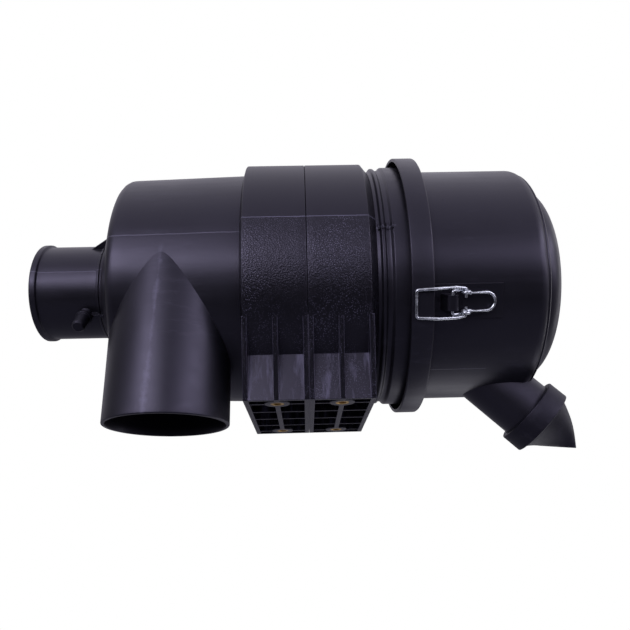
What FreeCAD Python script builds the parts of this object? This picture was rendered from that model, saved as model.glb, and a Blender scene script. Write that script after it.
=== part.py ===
import FreeCAD, Part
import Sketcher
import math
import os

# Two-stage air filter housing for a diesel engine.
# X runs along the housing axis towards the service cover, Z is up, and the origin is the centre
# of the bolt pattern on the underside of the feet. Sub-parts are drawn about their own axes and
# put in place by their Placement.

V = FreeCAD.Vector
doc = FreeCAD.newDocument("AirFilterHousing")
sheet = doc.addObject("Spreadsheet::Sheet", "Sizes")
subparts = []


class Measure:
    """A size that carries its number and the spreadsheet expression that gives it."""

    def __init__(self, text, value):
        self.text = text
        self.value = value

    def joined(self, sign, other, value):
        return Measure(f"({self.text} {sign} {measure(other).text})", value)

    def __add__(self, other):
        return self.joined("+", other, self.value + measure(other).value)

    def __sub__(self, other):
        return self.joined("-", other, self.value - measure(other).value)

    def __mul__(self, other):
        return self.joined("*", other, self.value * measure(other).value)

    def __truediv__(self, other):
        return self.joined("/", other, self.value / measure(other).value)

    def __neg__(self):
        return Measure(f"(-1 * {self.text})", -self.value)

    def __radd__(self, other):
        return measure(other) + self

    def __rsub__(self, other):
        return measure(other) - self


def measure(thing):
    return thing if isinstance(thing, Measure) else Measure(f"{thing:g}", thing)


def size(alias, value):
    """One row of the spreadsheet: a name and a plain number."""
    row = len(sheet.getUsedCells()) // 2 + 1
    sheet.set(f"A{row}", alias)
    sheet.set(f"B{row}", str(value))
    sheet.setAlias(f"B{row}", alias)
    return Measure(f"Sizes.{alias}", value)


# ---- driving dimensions, in millimetres and degrees -------------------------------------------

axis_height = size("axis_height", 128.0)
wall = size("wall", 3.0)
gap = size("gap", 0.3)

# main housing, along the axis from the seam between the two bands
outlet_end = size("outlet_end", -250.0)
outlet_radius = size("outlet_radius", 44.45)
bead_radius = size("bead_radius", 46.5)
bead_width = size("bead_width", 5.5)
outlet_base = size("outlet_base", -190.0)
shoulder_x = size("shoulder_x", -184.5)
corner_x = size("corner_x", -164.0)
corner_radius = size("corner_radius", 101.0)
barrel_start = size("barrel_start", -158.0)
barrel_small = size("barrel_small", 105.4)
seat_radius = size("seat_radius", 108.2)
seat_half = size("seat_half", 57.0)
neck_radius = size("neck_radius", 113.9)
rim_left = size("rim_left", 81.8)
rim_right = size("rim_right", 100.2)
rim_radius = size("rim_radius", 122.1)
mouth_radius = size("mouth_radius", 107.8)
stub_radius = size("stub_radius", 52.0)
stub_bore = size("stub_bore", 47.5)
stub_end = size("stub_end", -146.0)

# inlet tube, tangent to the near side of the barrel
inlet_x = size("inlet_x", -116.3)
inlet_radius = size("inlet_radius", 50.8)
inlet_reach = size("inlet_reach", 142.3)
hose_seat = size("hose_seat", 34.0)
inlet_draft = size("inlet_draft", 0.5)
tangent_radius = size("tangent_radius", 106.0)
inlet_top = size("inlet_top", -9.0)

# restriction port on the outlet tube
port_x = size("port_x", -201.0)
port_angle = size("port_angle", 49.0)
port_radius = size("port_radius", 4.0)
port_reach = size("port_reach", 66.0)
port_bore = size("port_bore", 1.5)
port_web = size("port_web", 2.4)
port_web_height = size("port_web_height", 5.0)
port_cap_wall = size("port_cap_wall", 1.9)
gusset_run = size("gusset_run", 13.0)
gusset_rise = size("gusset_rise", 12.0)

# mounting bands and their feet
band_radius = size("band_radius", 117.2)
band_seam = size("band_seam", 0.3)
band_flat = size("band_flat", 50.8)
foot_length = size("foot_length", 53.0)
foot_half = size("foot_half", 74.6)
foot_top_half = size("foot_top_half", 97.5)
foot_top = size("foot_top", 65.0)
rib = size("rib", 4.0)
grid_rib = size("grid_rib", 1.8)
grid_pitch = size("grid_pitch", 30.0)
bolt_x = size("bolt_x", 26.5)
bolt_y = size("bolt_y", 60.0)
boss_radius = size("boss_radius", 10.4)
insert_radius = size("insert_radius", 5.6)
insert_bore = size("insert_bore", 3.4)
insert_length = size("insert_length", 18.0)
split_width = size("split_width", 8.0)
lug_width = size("lug_width", 12.0)
lug_reach = size("lug_reach", 141.0)
lug_angle = size("lug_angle", 20.0)
clamp_bolt = size("clamp_bolt", 4.0)
clamp_bolt_reach = size("clamp_bolt_reach", 129.0)
lug_half_length = size("lug_half_length", 14.0)
washer_radius = size("washer_radius", 8.0)
washer_thickness = size("washer_thickness", 1.6)
hexagon_radius = size("hexagon_radius", 7.5)
head_height = size("head_height", 5.3)
nut_height = size("nut_height", 6.5)

# service cover
cover_radius = size("cover_radius", 109.3)
cover_face = size("cover_face", 100.3)
cover_corner_start = size("cover_corner_start", 189.0)
ring_x = size("ring_x", 198.1)
ring_radius = size("ring_radius", 105.0)
dome_radius = size("dome_radius", 95.0)
end_x = size("end_x", 216.2)
end_radius = size("end_radius", 82.6)
dish_radius = size("dish_radius", 62.0)
dish_depth = size("dish_depth", 4.0)
spigot_radius = size("spigot_radius", 104.8)
spigot_start = size("spigot_start", 84.0)
seal_x = size("seal_x", 91.0)
seal_section = size("seal_section", 2.0)
seal_centre = size("seal_centre", 105.4)

# dust drop tube and rubber valve
drop_x = size("drop_x", 181.3)
drop_angle = size("drop_angle", 43.8)
drop_radius = size("drop_radius", 27.1)
drop_reach = size("drop_reach", 38.5)
collar_start = size("collar_start", 22.9)
collar_end = size("collar_end", 41.0)
collar_radius = size("collar_radius", 32.2)
bill_radius = size("bill_radius", 28.4)
lip_x = size("lip_x", 60.9)
lip_side = size("lip_side", -10.2)
lip_half = size("lip_half", 19.7)
lip_thickness = size("lip_thickness", 2.6)
lip_tilt = size("lip_tilt", 38.7)

# over-centre wire latches, drawn for the one on top
latch_count = 3
wire = size("wire", 1.25)
pivot_x = size("pivot_x", 114.5)
pivot_height = size("pivot_height", 119.0)
eye_reach = size("eye_reach", 11.2)
lever_reach = size("lever_reach", 36.0)
lever_slope = size("lever_slope", 9.0)
lever_half = size("lever_half", 7.4)
pivot_half = size("pivot_half", 9.0)
bail_half = size("bail_half", 11.0)
bail_spread = size("bail_spread", 12.2)
cross_x = size("cross_x", 85.0)
lug_half = size("lug_half", 6.4)
pad_half = size("pad_half", 14.0)
pad_end = size("pad_end", 158.0)
pad_height = size("pad_height", 110.4)
post_half = size("post_half", 4.2)
eye_side = size("eye_side", 8.2)
eye_width = size("eye_width", 3.0)
eye_wall = size("eye_wall", 1.8)

# filter elements
primary_radius = size("primary_radius", 80.5)
primary_start = size("primary_start", -163.0)
primary_end = size("primary_end", 190.0)
primary_bore = size("primary_bore", 57.0)
cap_depth = size("cap_depth", 14.0)
safety_radius = size("safety_radius", 46.5)
safety_start = size("safety_start", -177.0)
safety_end = size("safety_end", 158.0)
safety_bore = size("safety_bore", 36.0)
safety_collar = size("safety_collar", 36.0)
safety_cap = size("safety_cap", 8.0)
post_outer = size("post_outer", 27.0)
sheet_metal = size("sheet_metal", 0.9)
sleeve_radius = size("sleeve_radius", 88.0)
sleeve_end = size("sleeve_end", -45.0)

doc.recompute()


# ---- ways of making things ---------------------------------------------------------------------

def bind(thing, **measures):
    """Give properties their expressions; a double underscore stands for a dot."""
    for name, value in measures.items():
        thing.setExpression(name.replace("__", "."), measure(value).text)


def sketch_on(body, role, name):
    plane = next(f for f in body.Origin.OriginFeatures if f.Role == role)
    sketch = body.newObject("Sketcher::SketchObject", name)
    sketch.AttachmentSupport = (plane, "")
    sketch.MapMode = "FlatFace"
    return sketch


def arc_middle(start, end, radius, side):
    """The middle of an arc of this radius, on the left (1) or right (-1) of start to end."""
    chord = end - start
    half = chord.Length / 2
    rise = radius - math.sqrt(radius ** 2 - half ** 2)
    left = V(-chord.y, chord.x, 0).normalize()
    return (start + end) / 2 + left * rise * side


def outline(sketch, points):
    """A closed outline. Each point is (x, y), or (x, y, radius, side) where an arc leads to it."""
    spots = [V(measure(p[0]).value, measure(p[1]).value, 0) for p in points]
    count = len(points)
    for i in range(count):
        end = points[(i + 1) % count]
        start_spot, end_spot = spots[i], spots[(i + 1) % count]
        if len(end) > 2:
            middle = arc_middle(start_spot, end_spot, measure(end[2]).value, end[3])
            sketch.addGeometry(Part.Arc(start_spot, middle, end_spot))
        else:
            sketch.addGeometry(Part.LineSegment(start_spot, end_spot))

    def ends(index):
        """Sketcher's numbers for an edge's two ends: it counts every arc anticlockwise."""
        leads_to = points[(index + 1) % count]
        clockwise = len(leads_to) > 2 and leads_to[3] == 1
        return (2, 1) if clockwise else (1, 2)

    for i in range(count):
        after = (i + 1) % count
        sketch.addConstraint(Sketcher.Constraint("Coincident", i, ends(i)[1], after, ends(after)[0]))
        for kind, value in (("DistanceX", points[i][0]), ("DistanceY", points[i][1])):
            number = sketch.addConstraint(
                Sketcher.Constraint(kind, -1, 1, i, ends(i)[0], measure(value).value))
            sketch.setExpression(f"Constraints[{number}]", measure(value).text)
        if len(points[after]) > 2:
            radius = measure(points[after][2])
            number = sketch.addConstraint(Sketcher.Constraint("Radius", i, radius.value))
            sketch.setExpression(f"Constraints[{number}]", radius.text)


def turned(name, points):
    """A body turned about the X axis from an outline of (x, radius) points."""
    body = doc.addObject("PartDesign::Body", name)
    sketch = sketch_on(body, "XZ_Plane", f"{name}_profile")
    outline(sketch, points)
    turn = body.newObject("PartDesign::Revolution", f"{name}_turn")
    turn.Profile = sketch
    turn.ReferenceAxis = (sketch, ["H_Axis"])
    turn.Angle = 360
    sketch.Visibility = False
    return body


def ring(name, start, end, inner, outer):
    return turned(name, [(start, inner), (end, inner), (end, outer), (start, outer)])


def prism(name, role, points, length):
    """A body padded from an outline on one of its origin planes."""
    body = doc.addObject("PartDesign::Body", name)
    sketch = sketch_on(body, role, f"{name}_profile")
    outline(sketch, points)
    pad = body.newObject("PartDesign::Pad", f"{name}_pad")
    pad.Profile = sketch
    bind(pad, Length=length)
    return body


def put(thing, x=0, y=0, z=0, axis=V(1, 0, 0), angle=0):
    """Set a piece's place, bound to the sheet, and its turn about an axis."""
    base = V(measure(x).value, measure(y).value, measure(z).value)
    thing.Placement = FreeCAD.Placement(base, FreeCAD.Rotation(axis, angle))
    bind(thing, Placement__Base__x=x, Placement__Base__y=y, Placement__Base__z=z)
    return thing


def block(name, low, high):
    """A box between two corners."""
    box = doc.addObject("Part::Box", name)
    bind(box, Length=high[0] - low[0], Width=high[1] - low[1], Height=high[2] - low[2])
    return put(box, *low)


TOWARDS = {"x": (V(0, 1, 0), 90), "y": (V(1, 0, 0), -90), "z": (V(0, 0, 1), 0)}


def rod(name, radius, length, start, along="z"):
    """A cylinder from a start point along one axis."""
    cylinder = doc.addObject("Part::Cylinder", name)
    bind(cylinder, Radius=radius, Height=length)
    axis, angle = TOWARDS[along]
    return put(cylinder, *start, axis=axis, angle=angle)


def joined(name, pieces):
    fuse = doc.addObject("Part::MultiFuse", name)
    fuse.Shapes = pieces
    return fuse


def less(name, base, tools):
    """The base without the tools."""
    cut = doc.addObject("Part::Cut", name)
    cut.Base = base
    cut.Tool = tools[0] if len(tools) == 1 else joined(f"{name}_tools", tools)
    return cut


def around(pieces, angle):
    """Turn pieces about the housing axis."""
    for piece in pieces:
        turn = FreeCAD.Placement(V(0, 0, 0), FreeCAD.Rotation(V(1, 0, 0), angle))
        placed = turn.multiply(piece.Placement)
        for spot in "xyz":
            piece.setExpression(f"Placement.Base.{spot}", None)
        piece.Placement = placed
    return pieces


def subpart(thing, label, x=0, y=0, z=axis_height, axis=V(1, 0, 0), angle=0):
    """Name a finished piece and put it in the housing."""
    thing.Label = label
    put(thing, x, y, z, axis, angle)
    subparts.append(thing)
    return thing


def bent_wire(points, bends, radius):
    """A round wire through the points, with a bend of its own radius at each inner point."""
    edges = []
    last = points[0]
    for i in range(1, len(points) - 1):
        before = (points[i - 1] - points[i]).normalize()
        after = (points[i + 1] - points[i]).normalize()
        half_turn = (math.pi - before.getAngle(after)) / 2
        leg = bends[i - 1] * math.tan(half_turn)
        start, end = points[i] + before * leg, points[i] + after * leg
        centre = points[i] + (before + after).normalize() * (bends[i - 1] / math.cos(half_turn))
        middle = centre + (points[i] - centre).normalize() * bends[i - 1]
        edges.append(Part.LineSegment(last, start).toShape())
        edges.append(Part.Arc(start, middle, end).toShape())
        last = end
    edges.append(Part.LineSegment(last, points[-1]).toShape())
    path = Part.Wire(edges)
    section = Part.Wire(Part.makeCircle(radius, points[0], points[1] - points[0]))
    return path.makePipeShell([section], True, True)


# ---- main housing: outlet tube, end wall, barrel, neck and rim in one moulding ------------------

outlet_bore = outlet_radius - wall
housing_skin = turned("housing_skin", [
    (outlet_end, 0),
    (outlet_end, bead_radius),
    (outlet_end + bead_width, bead_radius),
    (outlet_end + bead_width + 1, outlet_radius),
    (outlet_base, outlet_radius),
    (outlet_base + 0.5, outlet_radius + 2.5),
    (shoulder_x, outlet_radius + 3.5),
    (corner_x, corner_radius),
    (barrel_start, barrel_small, 7.0, 1),
    (-seat_half, seat_radius),
    (seat_half, seat_radius),
    (seat_half, seat_radius + 1.8),
    (seat_half + 3, seat_radius + 2.2),
    (seat_half + 4.2, seat_radius + 4.8),
    (seat_half + 6.2, seat_radius + 4.6),
    (seat_half + 8.5, seat_radius + 2.9),
    (seat_half + 12, seat_radius + 4.4),
    (seat_half + 14, neck_radius),
    (rim_right - wall, neck_radius),
    (rim_right - wall, rim_radius - wall),
    (rim_left, rim_radius - wall),
    (rim_left, rim_radius),
    (rim_right - 1.2, rim_radius),
    (rim_right, rim_radius - 1.2, 1.2, 1),
    (rim_right, 0)])

housing_core = turned("housing_core", [
    (shoulder_x + 3, 0),
    (shoulder_x + 3, outlet_radius + 3),
    (corner_x + 3, corner_radius - wall),
    (barrel_start + 2, barrel_small - wall),
    (seat_half - 4, seat_radius - wall),
    (seat_half + 2, mouth_radius),
    (rim_right + 1, mouth_radius),
    (rim_right + 1, 0)])

inlet_y = inlet_radius + inlet_draft - tangent_radius
inlet_bore = inlet_radius - wall


def on_inlet_axis(thing):
    """Put a piece drawn along X on the inlet's axis, with its zero at the open end."""
    return put(thing, inlet_x, inlet_y, -inlet_reach, V(0, 1, 0), -90)


inlet_skin = on_inlet_axis(turned("inlet_skin", [
    (0, 0),
    (0, inlet_radius),
    (hose_seat, inlet_radius),
    (inlet_reach + inlet_top, inlet_radius + inlet_draft),
    (inlet_reach + inlet_top, 0)]))
inlet_hole = on_inlet_axis(turned("inlet_hole", [
    (0, 0),
    (0, inlet_bore),
    (hose_seat - 1, inlet_bore),
    (inlet_reach + inlet_top, inlet_bore + inlet_draft),
    (inlet_reach + inlet_top, 0)]))

seal_stub = ring("seal_stub", shoulder_x, stub_end, outlet_bore, stub_radius)
outlet_hole = rod("outlet_hole", outlet_bore, 80.0, (outlet_end - 1, 0, 0), "x")
safety_seat = rod("safety_seat", stub_bore, 60.0, (shoulder_x - 3, 0, 0), "x")

port_turn = 90 + port_angle.value
port_pin = rod("port_pin", port_radius, port_reach - outlet_radius + 1.5,
               (port_x, 0, outlet_radius - 1.5))
port_rib = block("port_rib", (port_x, -port_web / 2, outlet_radius - 1.5),
                 (shoulder_x + 2, port_web / 2, outlet_radius + port_web_height))
port_hole = rod("port_hole", port_bore, port_reach, (port_x, 0, outlet_bore - wall))
around([port_pin, port_rib, port_hole], port_turn)

gussets = []
for number, angle in enumerate((45, 225, 315)):
    gusset = prism(f"gusset_{number}", "XZ_Plane", [
        (outlet_base - gusset_run, outlet_radius - 1),
        (shoulder_x + wall, outlet_radius - 1),
        (shoulder_x + wall, outlet_radius + gusset_rise)], wall)
    gusset.Tip.Midplane = True
    gussets += around([gusset], angle)



def portion(name, whole, zone):
    """The part of a moulding that lies inside a zone."""
    share = doc.addObject("Part::Common", name)
    share.Base = whole
    share.Tool = turned(f"{name}_zone", zone)
    return share


# The moulding is written as five plain nodes that meet face to face: outlet, end wall, barrel,
# inlet and neck.
far = rim_radius + 20
hollow = less("housing_hollow", housing_skin, [housing_core, inlet_hole])
fitted = joined("housing_fitted", [hollow, seal_stub, port_pin, port_rib] + gussets)
moulding = less("housing_moulding", fitted, [outlet_hole, safety_seat, port_hole])
subpart(portion("housing_outlet", moulding, [
    (outlet_end - 5, 0),
    (outlet_end - 5, far),
    (outlet_base + 1, far),
    (outlet_base + 1, stub_radius),
    (stub_end + 5, stub_radius),
    (stub_end + 5, 0)]), "housing_outlet")
subpart(portion("housing_end_wall", moulding, [
    (outlet_base + 1, stub_radius),
    (outlet_base + 1, far),
    (barrel_start, far),
    (barrel_start, stub_radius)]), "housing_end_wall")
subpart(portion("housing_barrel", moulding, [
    (barrel_start, stub_radius + 5),
    (barrel_start, far),
    (seat_half, far),
    (seat_half, stub_radius + 5)]), "housing_barrel")
subpart(portion("housing_neck", moulding, [
    (seat_half, stub_radius),
    (seat_half, far),
    (rim_right + 5, far),
    (rim_right + 5, stub_radius)]), "housing_neck")
subpart(less("housing_inlet", inlet_skin, [housing_skin, inlet_hole]), "housing_inlet")

# the rubber cap that closes the restriction port; its thick collar stands just above the web
port_collar = port_radius + 3.2
port_cap_start = outlet_radius + port_web_height + 0.5
port_cap = turned("port_cap", [
    (port_cap_start, port_radius + 0.1),
    (port_reach + gap, port_radius + 0.1),
    (port_reach + gap, 0),
    (port_reach + 3.0, 0),
    (port_reach + 3.0, port_radius),
    (port_reach + 1.0, port_radius + port_cap_wall, 2.2, 1),
    (port_cap_start + 4.5, port_radius + port_cap_wall),
    (port_cap_start + 3.5, port_collar),
    (port_cap_start, port_collar)])
cap_turn = FreeCAD.Rotation(V(1, 0, 0), port_turn).multiply(FreeCAD.Rotation(V(0, 1, 0), -90))
subpart(port_cap, "restriction_port_cap", x=port_x,
        axis=cap_turn.Axis, angle=math.degrees(cap_turn.Angle))

# the inner sleeve that turns the incoming air around the element and throws the dust outwards
subpart(ring("precleaner_sleeve", corner_x + 1, sleeve_end, sleeve_radius - 2.2, sleeve_radius),
        "precleaner_sleeve")

# ---- mounting bands: a split ring, a ribbed foot and two clamp lugs ------------------------------

lug_inner = split_width / 2


def clamp_rod(name, radius, start, length):
    """A piece on the line of the band's clamp bolt, which crosses the split."""
    piece = rod(name, radius, length, (bolt_x, start, clamp_bolt_reach), "y")
    return around([piece], lug_angle.value - 90)[0]


def band(label):
    """The band on the cover side of the seam; the other one is its mirror image."""
    hoop = turned(f"{label}_hoop", [
        (band_seam, seat_radius - 2),
        (seat_half, seat_radius - 2),
        (seat_half, seat_radius + 1.6),
        (band_flat, band_radius),
        (band_seam, band_radius)])
    foot = prism(f"{label}_foot", "YZ_Plane", [
        (-foot_top_half, -foot_top),
        (-foot_half, -axis_height),
        (foot_half, -axis_height),
        (foot_top_half, -foot_top)], foot_length - band_seam)
    put(foot, band_seam)

    ribs = (band_seam + rib / 2, bolt_x, foot_length - rib / 2)
    pockets = []
    for bay in range(2):
        low_x, high_x = ribs[bay] + rib / 2, ribs[bay + 1] - rib / 2
        for side, low_y, high_y in (("front", -foot_top_half - 5, -foot_half),
                                    ("back", foot_half, foot_top_half + 5)):
            pockets.append(block(f"{label}_{side}_recess_{bay}",
                                 (low_x, low_y, -axis_height - 1), (high_x, high_y, -foot_top + 1)))
        edges = [-foot_half + wall - grid_rib / 2]
        edges += [grid_pitch * step for step in (-2, -1, 0, 1, 2)]
        edges += [foot_half - wall + grid_rib / 2]
        for cell in range(len(edges) - 1):
            pockets.append(block(f"{label}_cell_{bay}_{cell}",
                                 (low_x, edges[cell] + grid_rib / 2, -axis_height - 1),
                                 (high_x, edges[cell + 1] - grid_rib / 2, -foot_top + 1)))

    bosses, holes = [], []
    for side, y in (("front", -bolt_y), ("back", bolt_y)):
        bosses.append(rod(f"{label}_{side}_boss", boss_radius, axis_height - foot_top - 10,
                          (bolt_x, y, -axis_height)))
        holes.append(rod(f"{label}_{side}_hole", insert_radius + 0.05, insert_length + 2,
                         (bolt_x, y, -axis_height - 1)))

    lugs = [block(f"{label}_lug_{side}", (bolt_x - lug_half_length, low, seat_radius + 2),
                  (bolt_x + lug_half_length, low + lug_width, lug_reach))
            for side, low in (("low", -lug_inner - lug_width), ("high", lug_inner))]
    split = block(f"{label}_split", (band_seam - 1, -lug_inner, seat_radius - 5),
                  (seat_half + 1, lug_inner, lug_reach + 1))
    around(lugs + [split], lug_angle.value - 90)

    bore = rod(f"{label}_bore", seat_radius + 0.1, seat_half + 2, (band_seam - 1, 0, 0), "x")
    bolt_way = clamp_rod(f"{label}_bolt_way", clamp_bolt + 0.3, -30.0, 60.0)
    ribbed = less(f"{label}_ribbed", foot, pockets)
    whole = joined(f"{label}_whole", [ribbed, hoop] + bosses + lugs)
    return less(label, whole, [bore, split, bolt_way] + holes)


subpart(band("mounting_band_right"), "mounting_band_right")


def mirrored(thing, label):
    """The same piece on the outlet side of the seam, reflected so that its lugs stay at the back."""
    mirror = doc.addObject("Part::Mirroring", label)
    mirror.Source = thing
    mirror.Base = V(0, 0, 0)
    mirror.Normal = V(1, 0, 0)
    return mirror


left_band = mirrored(band("left_band_pattern"), "mounting_band_left")
subpart(left_band, "mounting_band_left")

# brass inserts moulded into the feet, threaded for the vehicle's bolts
inserts = []
corners = ((bolt_x, bolt_y), (bolt_x, -bolt_y), (-bolt_x, bolt_y), (-bolt_x, -bolt_y))
for number, (x, y) in enumerate(corners):
    barrel = rod(f"insert_barrel_{number}", insert_radius, insert_length, (x, y, 0))
    thread = rod(f"insert_thread_{number}", insert_bore, insert_length + 2, (x, y, -1))
    inserts.append(less(f"insert_{number}", barrel, [thread]))
group = doc.addObject("Part::Compound", "threaded_inserts")
group.Links = inserts
subpart(group, "threaded_inserts", z=0)

# clamp bolts, washers and nuts that pull the bands tight on the barrel
washer_face = lug_inner + lug_width


def on_both_bands(label, make):
    """A group of the same fastener on the right band and, reflected, on the left one."""
    right = make(f"{label}_right")
    left = mirrored(make(f"{label}_pattern"), f"{label}_left")
    group = doc.addObject("Part::Compound", label)
    group.Links = [right, left]
    return subpart(group, label)


def hexagon(name, across, start, length):
    """A hexagonal prism on the clamp bolt's line."""
    prism_six = doc.addObject("Part::Prism", name)
    prism_six.Polygon = 6
    bind(prism_six, Circumradius=across, Height=length)
    put(prism_six, bolt_x, start, clamp_bolt_reach, V(1, 0, 0), -90)
    return around([prism_six], lug_angle.value - 90)[0]


def clamp_screw(name):
    shank_end = washer_face + washer_thickness
    shank = clamp_rod(f"{name}_shank", clamp_bolt, -washer_face - 10, shank_end + washer_face + 10)
    head = hexagon(f"{name}_head", hexagon_radius, shank_end, head_height)
    return joined(name, [shank, head])


def clamp_washers(name):
    faces = (-washer_face - washer_thickness, washer_face)
    discs = [clamp_rod(f"{name}_disc_{i}", washer_radius, face, washer_thickness)
             for i, face in enumerate(faces)]
    return less(name, joined(f"{name}_discs", discs),
                [clamp_rod(f"{name}_hole", clamp_bolt + 0.1, -40.0, 80.0)])


def clamp_nut(name):
    outer_face = -washer_face - washer_thickness - nut_height
    return less(name, hexagon(f"{name}_hex", hexagon_radius, outer_face, nut_height),
                [clamp_rod(f"{name}_hole", clamp_bolt + 0.05, -40.0, 30.0)])


on_both_bands("band_clamp_bolts", clamp_screw)
on_both_bands("band_clamp_washers", clamp_washers)
on_both_bands("band_clamp_nuts", clamp_nut)

# ---- service cover: barrel, domed end, spigot, drop tube and latch brackets ---------------------

cover_skin = turned("cover_skin", [
    (spigot_start, 0),
    (spigot_start, spigot_radius - 0.8),
    (spigot_start + 1.5, spigot_radius),
    (seal_x - seal_section - 0.2, spigot_radius),
    (seal_x - seal_section - 0.2, seal_centre - seal_section - 0.1),
    (seal_x + seal_section + 0.2, seal_centre - seal_section - 0.1),
    (seal_x + seal_section + 0.2, spigot_radius),
    (cover_face, spigot_radius),
    (cover_face, cover_radius),
    (cover_corner_start, cover_radius),
    (ring_x, ring_radius, 12.0, 1),
    (ring_x, dome_radius),
    (end_x, end_radius, 22.0, 1),
    (end_x, dish_radius),
    (end_x - dish_depth, dish_radius - 3),
    (end_x - dish_depth, 0)])

cover_core = turned("cover_core", [
    (spigot_start - 1, 0),
    (spigot_start - 1, spigot_radius - 5),
    (cover_face + 1, spigot_radius - 5),
    (cover_face + 5, cover_radius - wall),
    (cover_corner_start, cover_radius - wall),
    (ring_x - wall, ring_radius - wall),
    (ring_x - wall, dome_radius - wall),
    (end_x - 9, end_radius + 4.5),
    (end_x - wall, end_radius - 6),
    (end_x - wall, dish_radius + 2),
    (end_x - wall - dish_depth, dish_radius - 2),
    (end_x - wall - dish_depth, 0)])

drop_start = 46.0


def on_drop_axis(thing):
    """Put a piece drawn along X on the drop tube's axis, with its zero at the barrel's surface."""
    return put(thing, drop_x, 0, -cover_radius, V(0, 1, 0), drop_angle.value)


drop_skin = on_drop_axis(ring("drop_skin", -drop_start, drop_reach, 0, drop_radius))
drop_hole = on_drop_axis(ring("drop_hole", -drop_start - 5, drop_reach + 1, 0, drop_radius - wall))
element_post = ring("element_post", primary_end + 1.5, end_x - wall, post_outer - wall, post_outer)

brackets = []
for number in range(latch_count):
    pad = block(f"latch_pad_{number}", (cover_face, -pad_half, cover_radius - wall),
                (pad_end, pad_half, pad_height))
    post = block(f"latch_post_{number}", (pivot_x - post_half, -lug_half, cover_radius - wall),
                 (pivot_x + post_half, lug_half, pivot_height))
    crown = rod(f"latch_crown_{number}", post_half, lug_half * 2,
                (pivot_x, -lug_half, pivot_height), "y")
    brackets += around([pad, post, crown], 360 / latch_count * number)
pivot_holes = []
for number in range(latch_count):
    pivot_hole = rod(f"pivot_hole_{number}", wire + gap, lug_half * 2 + 2,
                     (pivot_x, -lug_half - 1, pivot_height), "y")
    pivot_holes += around([pivot_hole], 360 / latch_count * number)

# The cover's moulding is written as four nodes that meet face to face.
cover_hollow = less("cover_hollow", joined("cover_solid", [cover_skin] + brackets),
                    [cover_core, drop_hole] + pivot_holes)
spigot_root = cover_face + 5
subpart(portion("cover_spigot", cover_hollow, [
    (spigot_start - 5, dish_radius + 5),
    (spigot_start - 5, far),
    (spigot_root, far),
    (spigot_root, dish_radius + 5)]), "cover_spigot")
subpart(portion("service_cover", cover_hollow, [
    (spigot_root, dish_radius + 5),
    (spigot_root, far),
    (cover_corner_start, far),
    (cover_corner_start, dish_radius + 5)]), "service_cover")
cover_end = portion("cover_end_hollow", cover_hollow, [
    (cover_corner_start, 0),
    (cover_corner_start, far),
    (end_x + 5, far),
    (end_x + 5, 0)])
subpart(joined("cover_end", [cover_end, element_post]), "cover_end")
subpart(less("drop_tube", drop_skin, [cover_skin, drop_hole]), "drop_tube")

# the cord seal in the spigot's groove
seal = doc.addObject("Part::Torus", "cover_seal_ring")
bind(seal, Radius1=seal_centre, Radius2=seal_section)
subpart(seal, "cover_seal_ring", x=seal_x, axis=V(0, 1, 0), angle=90)

# the baffle that keeps separated dust away from the element
subpart(ring("dust_baffle", cover_face + 12, primary_end + 2, sleeve_radius - 2.2, sleeve_radius),
        "dust_baffle")

# ---- rubber dust valve: a collar on the drop tube and a flattened bill ---------------------------

collar = turned("valve_collar", [
    (collar_start, drop_radius + 0.1),
    (drop_reach + 0.2, drop_radius + 0.1),
    (drop_reach + 0.2, bill_radius - 4),
    (collar_end + 0.5, bill_radius - 4),
    (collar_end + 0.5, bill_radius),
    (collar_end, collar_radius - 1.5),
    (collar_end - 1.5, collar_radius, 1.5, 1),
    (collar_start + 2.5, collar_radius),
    (collar_start, collar_radius - 2.5, 2.5, 1)])


def bill(name, mouth, half, thickness, inset):
    """A tapered skin from a round mouth to the flat slanted lip."""
    circle = doc.addObject("Part::Circle", f"{name}_mouth")
    bind(circle, Radius=mouth)
    put(circle, collar_end - 0.2, 0, 0, V(0, 1, 0), -90)
    lip = doc.addObject("Part::Ellipse", f"{name}_lip")
    bind(lip, MajorRadius=half, MinorRadius=thickness)
    put(lip, lip_x - inset, 0, lip_side + inset, V(0, 1, 0), -lip_tilt.value)
    loft = doc.addObject("Part::Loft", name)
    loft.Sections = [circle, lip]
    loft.Solid = True
    loft.Ruled = True
    return loft


bill_skin = bill("bill_skin", bill_radius, lip_half, lip_thickness / 2, 0.0)
bill_core = bill("bill_core", bill_radius - 2.6, lip_half - 3.2, 0.25, 2.2)
valve = less("dust_valve", joined("valve_solid", [collar, bill_skin]), [bill_core])
subpart(valve, "dust_valve", x=drop_x, z=axis_height - cover_radius,
        axis=V(0, 1, 0), angle=drop_angle.value)

# ---- over-centre latches: a wire lever on the cover and a wire bail over the rim -----------------

slope = math.radians(lever_slope.value)
lever_way = V(math.cos(slope), 0, -math.sin(slope))
pivot = V(pivot_x.value, 0, pivot_height.value)
eye = pivot + lever_way * eye_reach.value
eye_bore = wire + gap
cross_height = rim_radius + gap + wire


def across(spot, side):
    return V(spot.x, side, spot.z)


def both_sides(spots):
    """A path of (place, side) spots from one end to the middle, and back on the other side."""
    there = [across(place, side) for place, side in spots]
    back = [across(place, -side) for place, side in reversed(spots)]
    return there + back


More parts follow.
